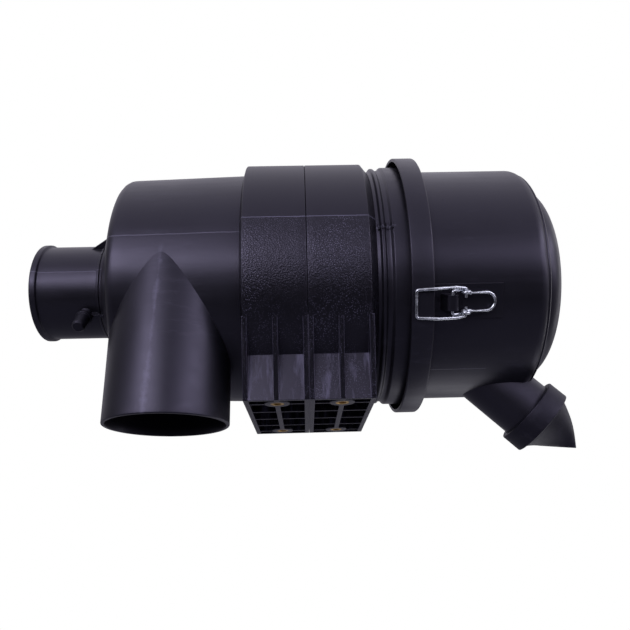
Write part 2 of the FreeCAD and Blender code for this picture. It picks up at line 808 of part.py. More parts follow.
def lever_shape():
    """A loop of wire: pins at the pivot, an eye each side for the bail, and a round finger end."""
    end = pivot + lever_way * lever_reach.value
    shoulder = pivot + lever_way * (lever_reach.value - lever_half.value)
    loop_bend = lever_half.value - 0.05
    points = both_sides([(pivot, 2.4), (pivot, pivot_half.value), (eye, eye_side.value),
                         (eye + lever_way * 6, lever_half.value), (end, lever_half.value)])
    bends = [1.6, 6.0, 6.0, loop_bend]
    loop = bent_wire(points, bends + bends[::-1], wire.value)
    bore, width = eye_bore.value, eye_width.value
    for side in (-eye_side.value, eye_side.value):
        start = across(eye, side - width / 2)
        loop = loop.fuse(Part.makeCylinder(bore + eye_wall.value, width, start, V(0, 1, 0)))
        loop = loop.cut(Part.makeCylinder(bore, width, start, V(0, 1, 0)))
    return loop


def bail_shape():
    """A frame of wire: its ends turn in through the lever's eyes, its cross bar lies on the rim."""
    cross = V(cross_x.value, 0, cross_height.value)
    knee = V(rim_right.value + 1.5, 0, cross_height.value)
    way = (knee - eye).normalize()
    points = both_sides([(eye, 4.6), (eye, bail_half.value + 0.2), (eye + way * 8, bail_spread.value),
                         (knee, bail_spread.value - 0.3), (cross, bail_half.value)])
    bends = [1.8, 6.0, 5.0, 2.6]
    return bent_wire(points, bends + bends[::-1], wire.value)


sides = ("top", "front", "back")
for number, side in enumerate(sides):
    for kind, shape in (("lever", lever_shape()), ("bail", bail_shape())):
        label = f"latch_{kind}_{side}"
        piece = doc.addObject("Part::Feature", label)
        piece.Shape = shape
        subpart(piece, label, angle=360 / latch_count * number)

# ---- filter elements: the primary one and the safety one inside it -------------------------------

media_start = primary_start + cap_depth
media_end = primary_end - cap_depth
media_radius = primary_radius - 2.5
subpart(turned("primary_open_cap", [
    (primary_start, stub_radius + gap + 1),
    (primary_start + 2, stub_radius + gap),
    (media_start, stub_radius + gap),
    (media_start, primary_radius),
    (primary_start + 2, primary_radius),
    (primary_start, primary_radius - 2)]), "primary_open_cap")
subpart(turned("primary_closed_cap", [
    (media_end, 0),
    (primary_end - 5, 0),
    (primary_end - 5, 20),
    (primary_end, 22),
    (primary_end, primary_radius - 2),
    (primary_end - 2, primary_radius),
    (media_end, primary_radius)]), "primary_closed_cap")
subpart(ring("primary_media", media_start, media_end, primary_bore + sheet_metal + 0.1, media_radius),
        "primary_media")
subpart(ring("primary_inner_liner", media_start, media_end, primary_bore, primary_bore + sheet_metal),
        "primary_inner_liner")
subpart(ring("primary_outer_liner", media_start, media_end, media_radius + 0.1,
             media_radius + 0.1 + sheet_metal), "primary_outer_liner")

safety_media_start = safety_start + safety_collar
safety_media_end = safety_end - safety_cap
subpart(turned("safety_open_cap", [
    (safety_start, safety_bore),
    (safety_media_start, safety_bore),
    (safety_media_start, safety_radius),
    (stub_end + 1, safety_radius),
    (stub_end + 1, stub_bore - gap),
    (safety_start + 3, stub_bore - gap),
    (safety_start, stub_bore - gap - 2)]), "safety_open_cap")
subpart(turned("safety_closed_cap", [
    (safety_media_end, 0),
    (safety_end, 0),
    (safety_end, safety_radius - 1.5),
    (safety_end - 1.5, safety_radius),
    (safety_media_end, safety_radius)]), "safety_closed_cap")
subpart(ring("safety_media", safety_media_start, safety_media_end, safety_bore + sheet_metal + 0.1,
             safety_radius - 0.5), "safety_media")
subpart(ring("safety_core", safety_media_start, safety_media_end, safety_bore,
             safety_bore + sheet_metal), "safety_core")

# ---- check and write ------------------------------------------------------------------------------

doc.recompute()
for thing in doc.Objects:
    if "Invalid" in thing.State or "Error" in thing.State:
        raise RuntimeError(f"{thing.Name} failed: {thing.State}")
os.makedirs("parts", exist_ok=True)
for thing in subparts:
    if thing.Shape.isNull() or not thing.Shape.isValid() or not thing.Shape.Solids:
        raise RuntimeError(f"{thing.Label} has no valid solid")
    thing.Shape.exportStep(f"parts/{thing.Label}.step")
    box = thing.Shape.BoundBox
    print(f"{thing.Label}: {len(thing.Shape.Solids)} solids, {thing.Shape.Volume / 1000:.1f} cm3, "
          f"x {box.XMin:.1f}..{box.XMax:.1f} y {box.YMin:.1f}..{box.YMax:.1f} "
          f"z {box.ZMin:.1f}..{box.ZMax:.1f}")
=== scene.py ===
import bpy
import bmesh
import math
from mathutils import Matrix, Vector


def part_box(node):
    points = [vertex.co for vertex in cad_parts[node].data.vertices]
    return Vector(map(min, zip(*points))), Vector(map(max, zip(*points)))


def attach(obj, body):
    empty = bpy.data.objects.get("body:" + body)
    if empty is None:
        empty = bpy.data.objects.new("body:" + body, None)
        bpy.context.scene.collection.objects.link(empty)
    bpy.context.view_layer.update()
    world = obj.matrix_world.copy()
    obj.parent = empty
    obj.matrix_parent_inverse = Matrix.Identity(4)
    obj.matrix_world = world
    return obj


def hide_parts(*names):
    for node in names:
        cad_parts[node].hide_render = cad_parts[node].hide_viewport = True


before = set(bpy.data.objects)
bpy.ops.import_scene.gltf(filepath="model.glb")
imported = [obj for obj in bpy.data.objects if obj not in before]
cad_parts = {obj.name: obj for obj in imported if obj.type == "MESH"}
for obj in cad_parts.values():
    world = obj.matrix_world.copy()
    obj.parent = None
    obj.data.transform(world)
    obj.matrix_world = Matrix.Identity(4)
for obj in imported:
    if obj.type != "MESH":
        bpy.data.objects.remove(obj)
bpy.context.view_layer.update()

scene = bpy.context.scene

# Main housing. One injection moulding in black polypropylene: outlet tube with its hose bead,
# coned end wall, drafted barrel, tangential inlet tube, ribbed neck and the rolled rim that the
# latches pull on. Its two mould halves meet along the barrel's equator.

MM = 0.001
AXIS = Vector((0, 0, sum(c.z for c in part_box("primary_media")) / 2))
HOUSING_AXIS = Matrix.Translation(AXIS)
ROUND = 240
ROW = 8.0


def arc(start, end, radius, steps=8):
    """Points of an outward arc between two (x, r) points."""
    a, b = Vector(start), Vector(end)
    chord = b - a
    rise = math.sqrt(radius ** 2 - (chord.length / 2) ** 2)
    centre = (a + b) / 2 + Vector((chord.y, -chord.x)).normalized() * rise
    first = math.atan2(a.y - centre.y, a.x - centre.x)
    last = math.atan2(b.y - centre.y, b.x - centre.x)
    turns = [first + (last - first) * k / steps for k in range(steps + 1)]
    return [(centre.x + radius * math.cos(t), centre.y + radius * math.sin(t)) for t in turns]


def rounded(points, steps=4):
    """An outline with round corners: each point is (x, y) or (x, y, corner radius)."""
    out = []
    for i, point in enumerate(points):
        here = Vector(point[:2])
        to_last = Vector(points[i - 1][:2]) - here
        to_next = Vector(points[(i + 1) % len(points)][:2]) - here
        if len(point) < 3:
            out.append(here)
            continue
        half = to_last.angle(to_next) / 2
        leg = min(point[2] / math.tan(half), 0.45 * to_last.length, 0.45 * to_next.length)
        radius = leg * math.tan(half)
        middle = (to_last.normalized() + to_next.normalized()).normalized()
        centre = here + middle * (radius / math.sin(half))
        start, end = here + to_last.normalized() * leg - centre, here + to_next.normalized() * leg - centre
        for k in range(steps + 1):
            spot = start.lerp(end, k / steps).normalized() * radius
            out.append(centre + spot)
    return out


def spaced(points, step, closed=True):
    """The outline with its long runs divided, so that cuts through it stay clean."""
    out = []
    for i, here in enumerate(points):
        out.append(here)
        after = points[(i + 1) % len(points)]
        pieces = int((after - here).length // step)
        if closed or i < len(points) - 1:
            out += [here.lerp(after, k / (pieces + 1)) for k in range(1, pieces + 1)]
    return out


def new_piece(name, bm, place):
    """A mesh object at the origin from a bmesh in millimetres, put in place in its mesh."""
    bmesh.ops.recalc_face_normals(bm, faces=bm.faces)
    bm.transform(place @ Matrix.Scale(MM, 4))
    mesh = bpy.data.meshes.new(name)
    bm.to_mesh(mesh)
    bm.free()
    piece = bpy.data.objects.new(name, mesh)
    scene.collection.objects.link(piece)
    return piece


def lathe(name, points, place=HOUSING_AXIS, segments=ROUND, step=ROW):
    """A solid turned about the X axis from a closed outline of (x, radius)."""
    bm = bmesh.new()
    rows = []
    for spot in spaced(rounded(points), step):
        if spot.y < 1e-6:
            rows.append([bm.verts.new((spot.x, 0, 0))])
            continue
        angles = [math.tau * k / segments for k in range(segments)]
        rows.append([bm.verts.new((spot.x, spot.y * math.sin(a), spot.y * math.cos(a))) for a in angles])
    for low, high in zip(rows, rows[1:] + rows[:1]):
        if len(low) == 1 and len(high) == 1:
            continue
        for k in range(segments):
            after = (k + 1) % segments
            corners = [low[k % len(low)], low[after % len(low)],
                       high[after % len(high)], high[k % len(high)]]
            bm.faces.new(list(dict.fromkeys(corners)))
    return new_piece(name, bm, place)


def prism(name, outline, low, high, place=HOUSING_AXIS, along="x"):
    """A solid pulled from an outline of two coordinates along the third one."""
    bm = bmesh.new()
    order = {"x": lambda a, b, c: (c, a, b), "y": lambda a, b, c: (a, c, b)}[along]
    ends = [[bm.verts.new(order(p[0], p[1], level)) for p in outline] for level in (low, high)]
    bm.faces.new(ends[0])
    bm.faces.new(ends[1])
    for i in range(len(outline)):
        after = (i + 1) % len(outline)
        bm.faces.new((ends[0][i], ends[0][after], ends[1][after], ends[1][i]))
    return new_piece(name, bm, place)


def block(name, low, high, place=HOUSING_AXIS):
    corners = [(low[1], low[2]), (high[1], low[2]), (high[1], high[2]), (low[1], high[2])]
    return prism(name, corners, low[0], high[0], place)


def combine(piece, operation, tools):
    """Add the tools to a piece or cut them from it, and throw the tools away."""
    for tool in tools:
        step = piece.modifiers.new(tool.name, "BOOLEAN")
        step.object = tool
        step.operation = operation
        step.solver = "EXACT"
    bpy.context.view_layer.update()
    solid = bpy.data.meshes.new_from_object(piece.evaluated_get(bpy.context.evaluated_depsgraph_get()))
    piece.modifiers.clear()
    piece.data = solid
    for tool in tools:
        bpy.data.objects.remove(tool)
    return piece


def along_axis(direction, start):
    """The place of a piece drawn along X that should run this way from this point."""
    turn = Vector(direction).to_track_quat("X", "Y").to_matrix().to_4x4()
    return Matrix.Translation(Vector(start) * MM) @ turn


def turned(angle):
    """A place turned about the housing's axis, in degrees."""
    return HOUSING_AXIS @ Matrix.Rotation(math.radians(angle), 4, "X")


def linear(hex_colour):
    """sRGB hex to linear colour."""
    parts = [int(hex_colour[i:i + 2], 16) / 255 for i in (0, 2, 4)]
    return [p / 12.92 if p <= 0.04045 else ((p + 0.055) / 1.055) ** 2.4 for p in parts] + [1.0]


def add(tree, kind, inputs=(), **properties):
    """Add a node with its inputs, in order or by name, and its properties. An input is a plain value,
    a socket, or a node whose first output is meant."""
    node = tree.nodes.new(kind)
    for key, value in properties.items():
        setattr(node, key, value)
    for key, value in inputs.items() if isinstance(inputs, dict) else enumerate(inputs):
        if isinstance(value, bpy.types.Node):
            value = value.outputs[0]
        if isinstance(value, bpy.types.NodeSocket):
            tree.links.new(value, node.inputs[key])
        else:
            node.inputs[key].default_value = value
    return node


NOISE, MATH, MAP_RANGE = "ShaderNodeTexNoise", "ShaderNodeMath", "ShaderNodeMapRange"


def new_material(name, shader_values):
    """A material with one Principled shader, and the Object coordinates its patterns use."""
    material = bpy.data.materials.new(name)
    material.use_nodes = True
    tree = material.node_tree
    tree.nodes.clear()
    shader = add(tree, "ShaderNodeBsdfPrincipled", shader_values)
    add(tree, "ShaderNodeOutputMaterial", {"Surface": shader})
    place = add(tree, "ShaderNodeTexCoord").outputs["Object"]
    return material, tree, shader, place


# Carbon black in both plastics turns their sheen slightly blue.
LAVENDER = linear("d6d0f2")


def witness_line(tree, place, angle, half_width, end):
    """1 on the lines that the mould leaves along the barrel, at this angle from the bottom and as
    far as this X."""
    turn = math.radians(angle)
    spot = add(tree, "ShaderNodeSeparateXYZ", [place])
    aside = add(tree, MATH, [spot.outputs["Y"]], operation="ABSOLUTE")
    height = add(tree, MATH, [spot.outputs["Z"], AXIS.z], operation="SUBTRACT")
    sideways = add(tree, MATH, [aside, math.cos(turn)], operation="MULTIPLY")
    upwards = add(tree, MATH, [height, math.sin(turn)], operation="MULTIPLY")
    across = add(tree, MATH, [sideways, upwards], operation="ADD")
    ragged = add(tree, NOISE, {"Scale": 55.0, "Detail": 4.0, "Roughness": 0.7, "Vector": place})
    wander = add(tree, MAP_RANGE, [ragged, 0.3, 0.7, -0.0003, 0.0003])
    shifted = add(tree, MATH, [across, wander], operation="ADD")
    away = add(tree, MATH, [shifted], operation="ABSOLUTE")
    near = add(tree, MAP_RANGE, [away, half_width * 0.4, half_width, 1.0, 0.0])
    before_end = add(tree, MAP_RANGE, [spot.outputs["X"], end, end + 0.002, 1.0, 0.0])
    return add(tree, MATH, [before_end, near], operation="MULTIPLY")


def satin_moulding(name, dark, pale, roughness, seam_angle, seam_width, seam_end, highlight_x=None):
    """Polypropylene from a polished mould: a satin skin, slightly uneven from shrinkage, with faint
    handling scuffs, the fine witness lines where the mould parts, and, given an X, a pale streak
    painted down the inlet's front as a highlight."""
    material, tree, shader, place = new_material(name, {"IOR": 1.49, "Specular IOR Level": 0.62,
                                                        "Specular Tint": LAVENDER})
    clouds = add(tree, NOISE, {"Scale": 9.0, "Detail": 5.0, "Roughness": 0.65, "Vector": place})
    drawn = add(tree, "ShaderNodeMapping", {"Scale": (14.0, 150.0, 150.0), "Vector": place})
    brushed = add(tree, NOISE, {"Scale": 1.0, "Detail": 5.0, "Roughness": 0.6, "Vector": drawn})
    fine = add(tree, NOISE, {"Scale": 420.0, "Detail": 3.0, "Vector": place})
    stretch = add(tree, "ShaderNodeMapping", {"Scale": (30.0, 30.0, 160.0), "Rotation": (0.5, 0.35, 0.2),
                                              "Vector": place})
    scratch = add(tree, NOISE, {"Scale": 1.0, "Detail": 6.0, "Roughness": 0.75, "Vector": stretch})
    patches = add(tree, NOISE, {"Scale": 14.0, "Detail": 3.0, "Vector": place})
    scratched = add(tree, MAP_RANGE, [scratch, 0.52, 0.74, 0.0, 0.5])
    handled = add(tree, MAP_RANGE, [patches, 0.54, 0.70, 0.0, 1.0])
    scuff = add(tree, MATH, [scratched, handled], operation="MULTIPLY")
    line = witness_line(tree, place, seam_angle, seam_width, seam_end)
    marks = add(tree, MATH, [scuff, line], operation="MAXIMUM")
    # Given an X, a pale streak is painted down the inlet's front as a highlight, with the ragged edge of a
    # rubbed mark.
    if highlight_x is not None:
        highlight_streak = painted_highlight_streak(tree, place, highlight_x)
        marks = add(tree, MATH, [marks, highlight_streak], operation="ADD")
    tint = add(tree, "ShaderNodeMix", {0: marks, 6: linear(dark), 7: linear(pale)}, data_type="RGBA")
    cloudiness = add(tree, MAP_RANGE, [clouds, 0.3, 0.7, 0.75, 1.3])
    cloudy = add(tree, "ShaderNodeHueSaturation", {"Color": tint.outputs[2], "Value": cloudiness})
    tree.links.new(cloudy.outputs[0], shader.inputs["Base Color"])
    patchy = add(tree, MAP_RANGE, [clouds, 0.3, 0.7, roughness - 0.05, roughness + 0.05])
    streaky = add(tree, MAP_RANGE, [brushed, 0.3, 0.7, -0.03, 0.03])
    uneven = add(tree, MATH, [patchy, streaky], operation="ADD")
    dulled = add(tree, MATH, [scuff, 0.12], operation="MULTIPLY")
    dullness = add(tree, MATH, [uneven, dulled], operation="ADD")
    tree.links.new(dullness.outputs[0], shader.inputs["Roughness"])
    raised = add(tree, MATH, [line, 1.2], operation="MULTIPLY")
    pimpled = add(tree, MATH, [fine, 0.25], operation="MULTIPLY")
    relief = add(tree, MATH, [raised, pimpled], operation="ADD")
    soft_edges = add(tree, "ShaderNodeBevel", {"Radius": 0.0005}, samples=4)
    bump = add(tree, "ShaderNodeBump", {"Strength": 0.25, "Distance": 0.0004, "Height": relief,
                                        "Normal": soft_edges})
    tree.links.new(bump.outputs[0], shader.inputs["Normal"])
    return material


def painted_highlight_streak(tree, place, highlight_x):
    """1 on a pale streak painted as a highlight down the inlet's front at this X, leaning as the highlight
    does and rough-edged like a rubbed mark.
    """
    spot = add(tree, "ShaderNodeSeparateXYZ", [place])
    wander = add(tree, NOISE, {"Scale": 38.0, "Detail": 6.0, "Roughness": 0.7, "Vector": place})
    depth = add(tree, MATH, [AXIS.z + 0.02, spot.outputs["Z"]], operation="SUBTRACT")
    lean = add(tree, MATH, [depth, 0.045], operation="MULTIPLY")
    leaning = add(tree, MATH, [spot.outputs["X"], lean], operation="ADD")
    off_line = add(tree, MATH, [leaning, highlight_x], operation="SUBTRACT")
    away = add(tree, MATH, [off_line], operation="ABSOLUTE")
    ragged = add(tree, MAP_RANGE, [wander, 0.35, 0.65, -0.0016, 0.0034])
    rough_away = add(tree, MATH, [away, ragged], operation="ADD")
    near = add(tree, MAP_RANGE, [rough_away, 0.0004, 0.0038, 1.0, 0.0])
    low_down = add(tree, MAP_RANGE, [spot.outputs["Z"], AXIS.z - 0.002, AXIS.z - 0.014, 0.0, 1.0])
    front_only = add(tree, MAP_RANGE, [spot.outputs["Y"], -0.1, -0.103, 0.0, 1.0])
    highlight_streak = add(tree, MATH, [near, low_down], operation="MULTIPLY")
    return add(tree, MATH, [highlight_streak, front_only], operation="MULTIPLY")


def finish(piece, material, smooth_angle=32):
    """Give a piece its material and smooth shading with crisp edges."""
    piece.data.materials.clear()
    piece.data.materials.append(material)
    piece.data.polygons.foreach_set("use_smooth", [True] * len(piece.data.polygons))
    piece.data.set_sharp_from_angle(angle=math.radians(smooth_angle))
    return piece


INLET_X = -116.3
# The housing's plastic carries a painted highlight streak down the inlet's front, at INLET_X.
polypropylene = satin_moulding("polypropylene_satin", "0d0d11", "3d3c49", 0.36, 92.6, 0.0006, 0.072,
                               INLET_X * MM)

WALL = 3.0
INLET_R = 50.8
INLET_DRAFT = 0.5
HOSE_SEAT = 34.0
TANGENT_R = 106.0
INLET_Y = INLET_R + INLET_DRAFT - TANGENT_R
INLET_RIM = 142.3
INLET_TALL = 139.0
OUTLET_BORE = 41.45
BARREL = (57.0, 108.2)

housing = lathe("housing_moulding", [
    (-250, 0), (-250, 46.5, 1.2), (-244.5, 46.5, 0.8), (-243.6, 44.45, 0.6), (-190, 44.45, 0.3),
    (-189.6, 46.9, 0.8), (-184.5, 48.0, 1.5), (-162.4, 105.28, 9.0), (-BARREL[0], BARREL[1]), BARREL,
    (57, 110.0, 0.4), (59.8, 110.4, 1.5), (61.2, 113.2, 1.0), (63.2, 113.0, 1.0), (65.0, 111.1, 1.5),
    (68.4, 111.4, 1.5), (70.6, 113.9, 1.2), (97.2, 113.9, 1.0), (97.2, 119.1, 1.0), (81.8, 119.1, 0.6),
    (81.8, 122.1, 0.9), (100.2, 122.1, 1.6), (100.2, 0)])
inlet_place = along_axis((0, 0, 1), (INLET_X, INLET_Y, AXIS.z / MM - INLET_RIM))
inlet = lathe("inlet_tube", [(0, 0), (0, INLET_R, 0.9), (HOSE_SEAT, INLET_R),
                             (INLET_TALL, INLET_R + INLET_DRAFT), (INLET_TALL, 0)], inlet_place, 160)
inside = lathe("housing_inside", [
    (-251, 0), (-251, 43.0), (-249.6, OUTLET_BORE), (-187.5, OUTLET_BORE), (-187.5, 47.5), (-146, 47.5),
    (-146, 52, 0.8), (-180.3, 52), (-161, 98, 4), (-156, 102.4, 6), (53, 105.2), (59, 107.8), (99.6, 107.8),
    (101, 109.0), (101, 0)])
inlet_way = lathe("inlet_way", [
    (-1, 0), (-1, INLET_R - 2.2), (1.0, INLET_R - WALL), (HOSE_SEAT, INLET_R - WALL),
    (INLET_TALL - 6, INLET_R + INLET_DRAFT - WALL), (INLET_TALL - 6, 0)], inlet_place, 160)
combine(inlet_way, "DIFFERENCE", [lathe("sealing_stub_keep", [(-200, 0), (-200, 95), (60, 95), (60, 0)])])

# The restriction port leans towards the inlet's side, with a web to the end wall behind it, and
# three small gussets brace the outlet tube.
PORT_X = -201.0
PORT_TURN = 90 + 49.0
port_place = (turned(PORT_TURN) @ Matrix.Translation(Vector((PORT_X, 0, 0)) * MM)
              @ Matrix.Rotation(-math.pi / 2, 4, "Y"))
port = lathe("port_pin", [(42.9, 0), (42.9, 6.5), (46.0, 4.6, 1.0), (66, 4.0), (66, 0)], port_place, 48)
port_web = block("port_web", (PORT_X, -1.2, 43), (-182, 1.2, 49.4), turned(PORT_TURN))
GUSSET = [(-203, 43.5), (-181.5, 43.5), (-181.5, 57)]
gussets = [prism(f"gusset_{angle}", GUSSET, -1.5, 1.5, turned(angle), "y") for angle in (45, 225, 315)]

# Small tabs of flash stand on the neck's rings where the two mould halves meet.
tabs = [block(f"tab_{x}_{turn}", (x, middle - 3.4, reach - 2.5), (x + 1.1, middle + 3.4, reach),
              turned(turn))
        for x, reach in ((58.6, 112.4), (61.6, 114.4), (66.0, 112.6), (69.8, 114.9))
        for turn, middle in ((90, 5.7), (270, -5.7))]
combine(housing, "UNION", [inlet, port, port_web] + gussets + tabs)
combine(housing, "DIFFERENCE", [inside, inlet_way])
finish(housing, polypropylene)


def on_inlet(spot):
    """Whether a point lies on the inlet tube's outer skin, above its hose seat."""
    height = spot.z / MM - AXIS.z / MM + INLET_RIM
    flare = INLET_DRAFT * (height - HOSE_SEAT) / (INLET_TALL - HOSE_SEAT)
    reach = math.hypot(spot.x / MM - INLET_X, spot.y / MM - INLET_Y)
    return height > HOSE_SEAT + 10 and abs(reach - INLET_R - flare) < 0.03


# The crease where the inlet runs out over the barrel grows too shallow to be found by its angle.
bm = bmesh.new()
bm.from_mesh(housing.data)
skin_faces = {face for face in bm.faces if all(on_inlet(corner.co) for corner in face.verts)}
for edge in bm.edges:
    if len(skin_faces.intersection(edge.link_faces)) == 1:
        edge.smooth = False
bm.to_mesh(housing.data)
bm.free()
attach(housing, "housing")
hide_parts("housing_outlet", "housing_end_wall", "housing_barrel", "housing_neck",
            "housing_inlet")

# Pre-cleaner sleeve. A plain black polypropylene tube inside the housing, seen up through the
# inlet: the incoming air turns around it, so the dust is thrown out before it meets the element.

sleeve = lathe("precleaner_sleeve_tube", [
    (-163, 85.8, 0.5), (-45, 85.8, 0.5), (-45, 88, 0.5), (-163, 88, 0.5)])
finish(sleeve, polypropylene)
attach(sleeve, "housing")
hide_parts("precleaner_sleeve")

# Mounting bands. Two like mouldings in black glass-filled nylon, side by side on the barrel. Each
# is a split hoop with a ribbed foot and two clamp lugs on the far side. The half of the mould below
# the equator is spark-eroded, and its sparkle is partly glints painted into its colour; the half
# above it is smooth.


def spark_moulding(name, dark, pale):
    """Glass-filled nylon: smooth above the equator, and below it a spark-eroded grain with pale specks
    painted on its facets as glints. The grain is drawn about 1 mm coarse so that its glints can be seen."""
    material, tree, shader, place = new_material(name, {"IOR": 1.53, "Specular IOR Level": 0.55,
                                                        "Specular Tint": LAVENDER})
    height = add(tree, "ShaderNodeSeparateXYZ", [place]).outputs["Z"]
    grainy = add(tree, MAP_RANGE, [height, AXIS.z + 0.0128, AXIS.z + 0.0138, 1.0, 0.0])
    grain = add(tree, NOISE, {"Scale": 1100.0, "Detail": 1.0, "Roughness": 0.6, "Vector": place})
    cells = add(tree, "ShaderNodeTexVoronoi", {"Scale": 820.0, "Randomness": 1.0, "Vector": place})
    clouds = add(tree, NOISE, {"Scale": 14.0, "Detail": 5.0, "Roughness": 0.65, "Vector": place})
    glint_patches = add(tree, NOISE, {"Scale": 26.0, "Detail": 4.0, "Roughness": 0.6, "Vector": place})
    pitted = add(tree, MATH, [grain, cells.outputs["Distance"]], operation="ADD")

    # The foot's front wall is worn nearly smooth, and streaked.
    surface = add(tree, "ShaderNodeNewGeometry")
    facing = add(tree, "ShaderNodeSeparateXYZ", [surface.outputs["True Normal"]]).outputs["Y"]
    faces_front = add(tree, MAP_RANGE, [facing, -0.98, -0.998, 0.0, 1.0])
    low_down = add(tree, MAP_RANGE, [height, AXIS.z - 0.062, AXIS.z - 0.064, 0.0, 1.0])
    wall = add(tree, MATH, [faces_front, low_down], operation="MULTIPLY")
    smoothed = add(tree, MATH, [wall, 0.85], operation="MULTIPLY")
    grain_left = add(tree, MATH, [grainy, smoothed], operation="SUBTRACT")
    relief = add(tree, MATH, [pitted, grain_left], operation="MULTIPLY")
    slanted = add(tree, "ShaderNodeMapping", {"Scale": (80.0, 40.0, 16.0), "Rotation": (0.0, 0.95, 0.0),
                                              "Vector": place})
    rubbed = add(tree, NOISE, {"Scale": 1.0, "Detail": 6.0, "Roughness": 0.7, "Distortion": 0.15,
                               "Vector": slanted})
    streaked = add(tree, MAP_RANGE, [rubbed, 0.50, 0.68, 0.0, 1.3])
    scuffed = add(tree, MATH, [wall, streaked], operation="MULTIPLY")

    # Edges are painted pale, partly as rubbing and partly as the highlights they catch, and the mould's
    # equator leaves a line.
    soft_edges = add(tree, "ShaderNodeBevel", {"Radius": 0.0009}, samples=6)
    flatness = add(tree, "ShaderNodeVectorMath", [soft_edges, surface.outputs["Normal"]],
                   operation="DOT_PRODUCT")
    rubbed_and_highlit_edges = add(tree, MAP_RANGE, [flatness.outputs["Value"], 0.80, 0.985, 0.8, 0.0])
    lowered = add(tree, "ShaderNodeVectorMath", [place, (0.0, 0.0, -0.0133)], operation="ADD")
    line = witness_line(tree, lowered.outputs[0], 90.0, 0.0005, 0.06)
    # Pale specks painted on the grain's cells stand in for the glints of its facets.
    facets = add(tree, MAP_RANGE, [cells.outputs["Distance"], 0.12, 0.30, 1.0, 0.0])
    glint_cells = add(tree, MATH, [facets, grainy], operation="MULTIPLY")
    glint_strength = add(tree, MAP_RANGE, [glint_patches, 0.42, 0.60, 0.1, 1.4])
    painted_glints = add(tree, MATH, [glint_cells, glint_strength], operation="MULTIPLY")
    marks = add(tree, MATH, [scuffed, line], operation="MAXIMUM")
    marks = add(tree, MATH, [marks, painted_glints], operation="MAXIMUM")
    marks = add(tree, MATH, [marks, rubbed_and_highlit_edges], operation="MAXIMUM")
    tint = add(tree, "ShaderNodeMix", {0: marks, 6: linear(dark), 7: linear(pale)}, data_type="RGBA")
    cloudiness = add(tree, MAP_RANGE, [clouds, 0.3, 0.7, 0.7, 1.3])
    cloudy = add(tree, "ShaderNodeHueSaturation", {"Color": tint.outputs[2], "Value": cloudiness})
    tree.links.new(cloudy.outputs[0], shader.inputs["Base Color"])
    sheen = add(tree, MAP_RANGE, [grainy, 0.0, 1.0, 0.40, 0.33])
    tree.links.new(sheen.outputs[0], shader.inputs["Roughness"])
    bump = add(tree, "ShaderNodeBump", {"Strength": 0.55, "Distance": 0.0003, "Height": relief,
                                        "Normal": soft_edges})
    tree.links.new(bump.outputs[0], shader.inputs["Normal"])
    return material


nylon = spark_moulding("glass_filled_nylon_spark", "070709", "514f63")

SEAM = 0.1
FOOT_DEEP = AXIS.z / MM
FOOT_LONG = 53.0
FOOT_HALF = 74.6
FOOT_TOP = (97.5, 65.0)
RIB = 4.0
GRID_RIB = 1.8
BOLT = (26.5, 60.0)
BOSS_R = 10.4
LUG_TURN = 20 - 90
LUG_TOP = 141.0
SPLIT = 4.0
LUG_THICK = 12.0
CLAMP_HEIGHT = 129.0


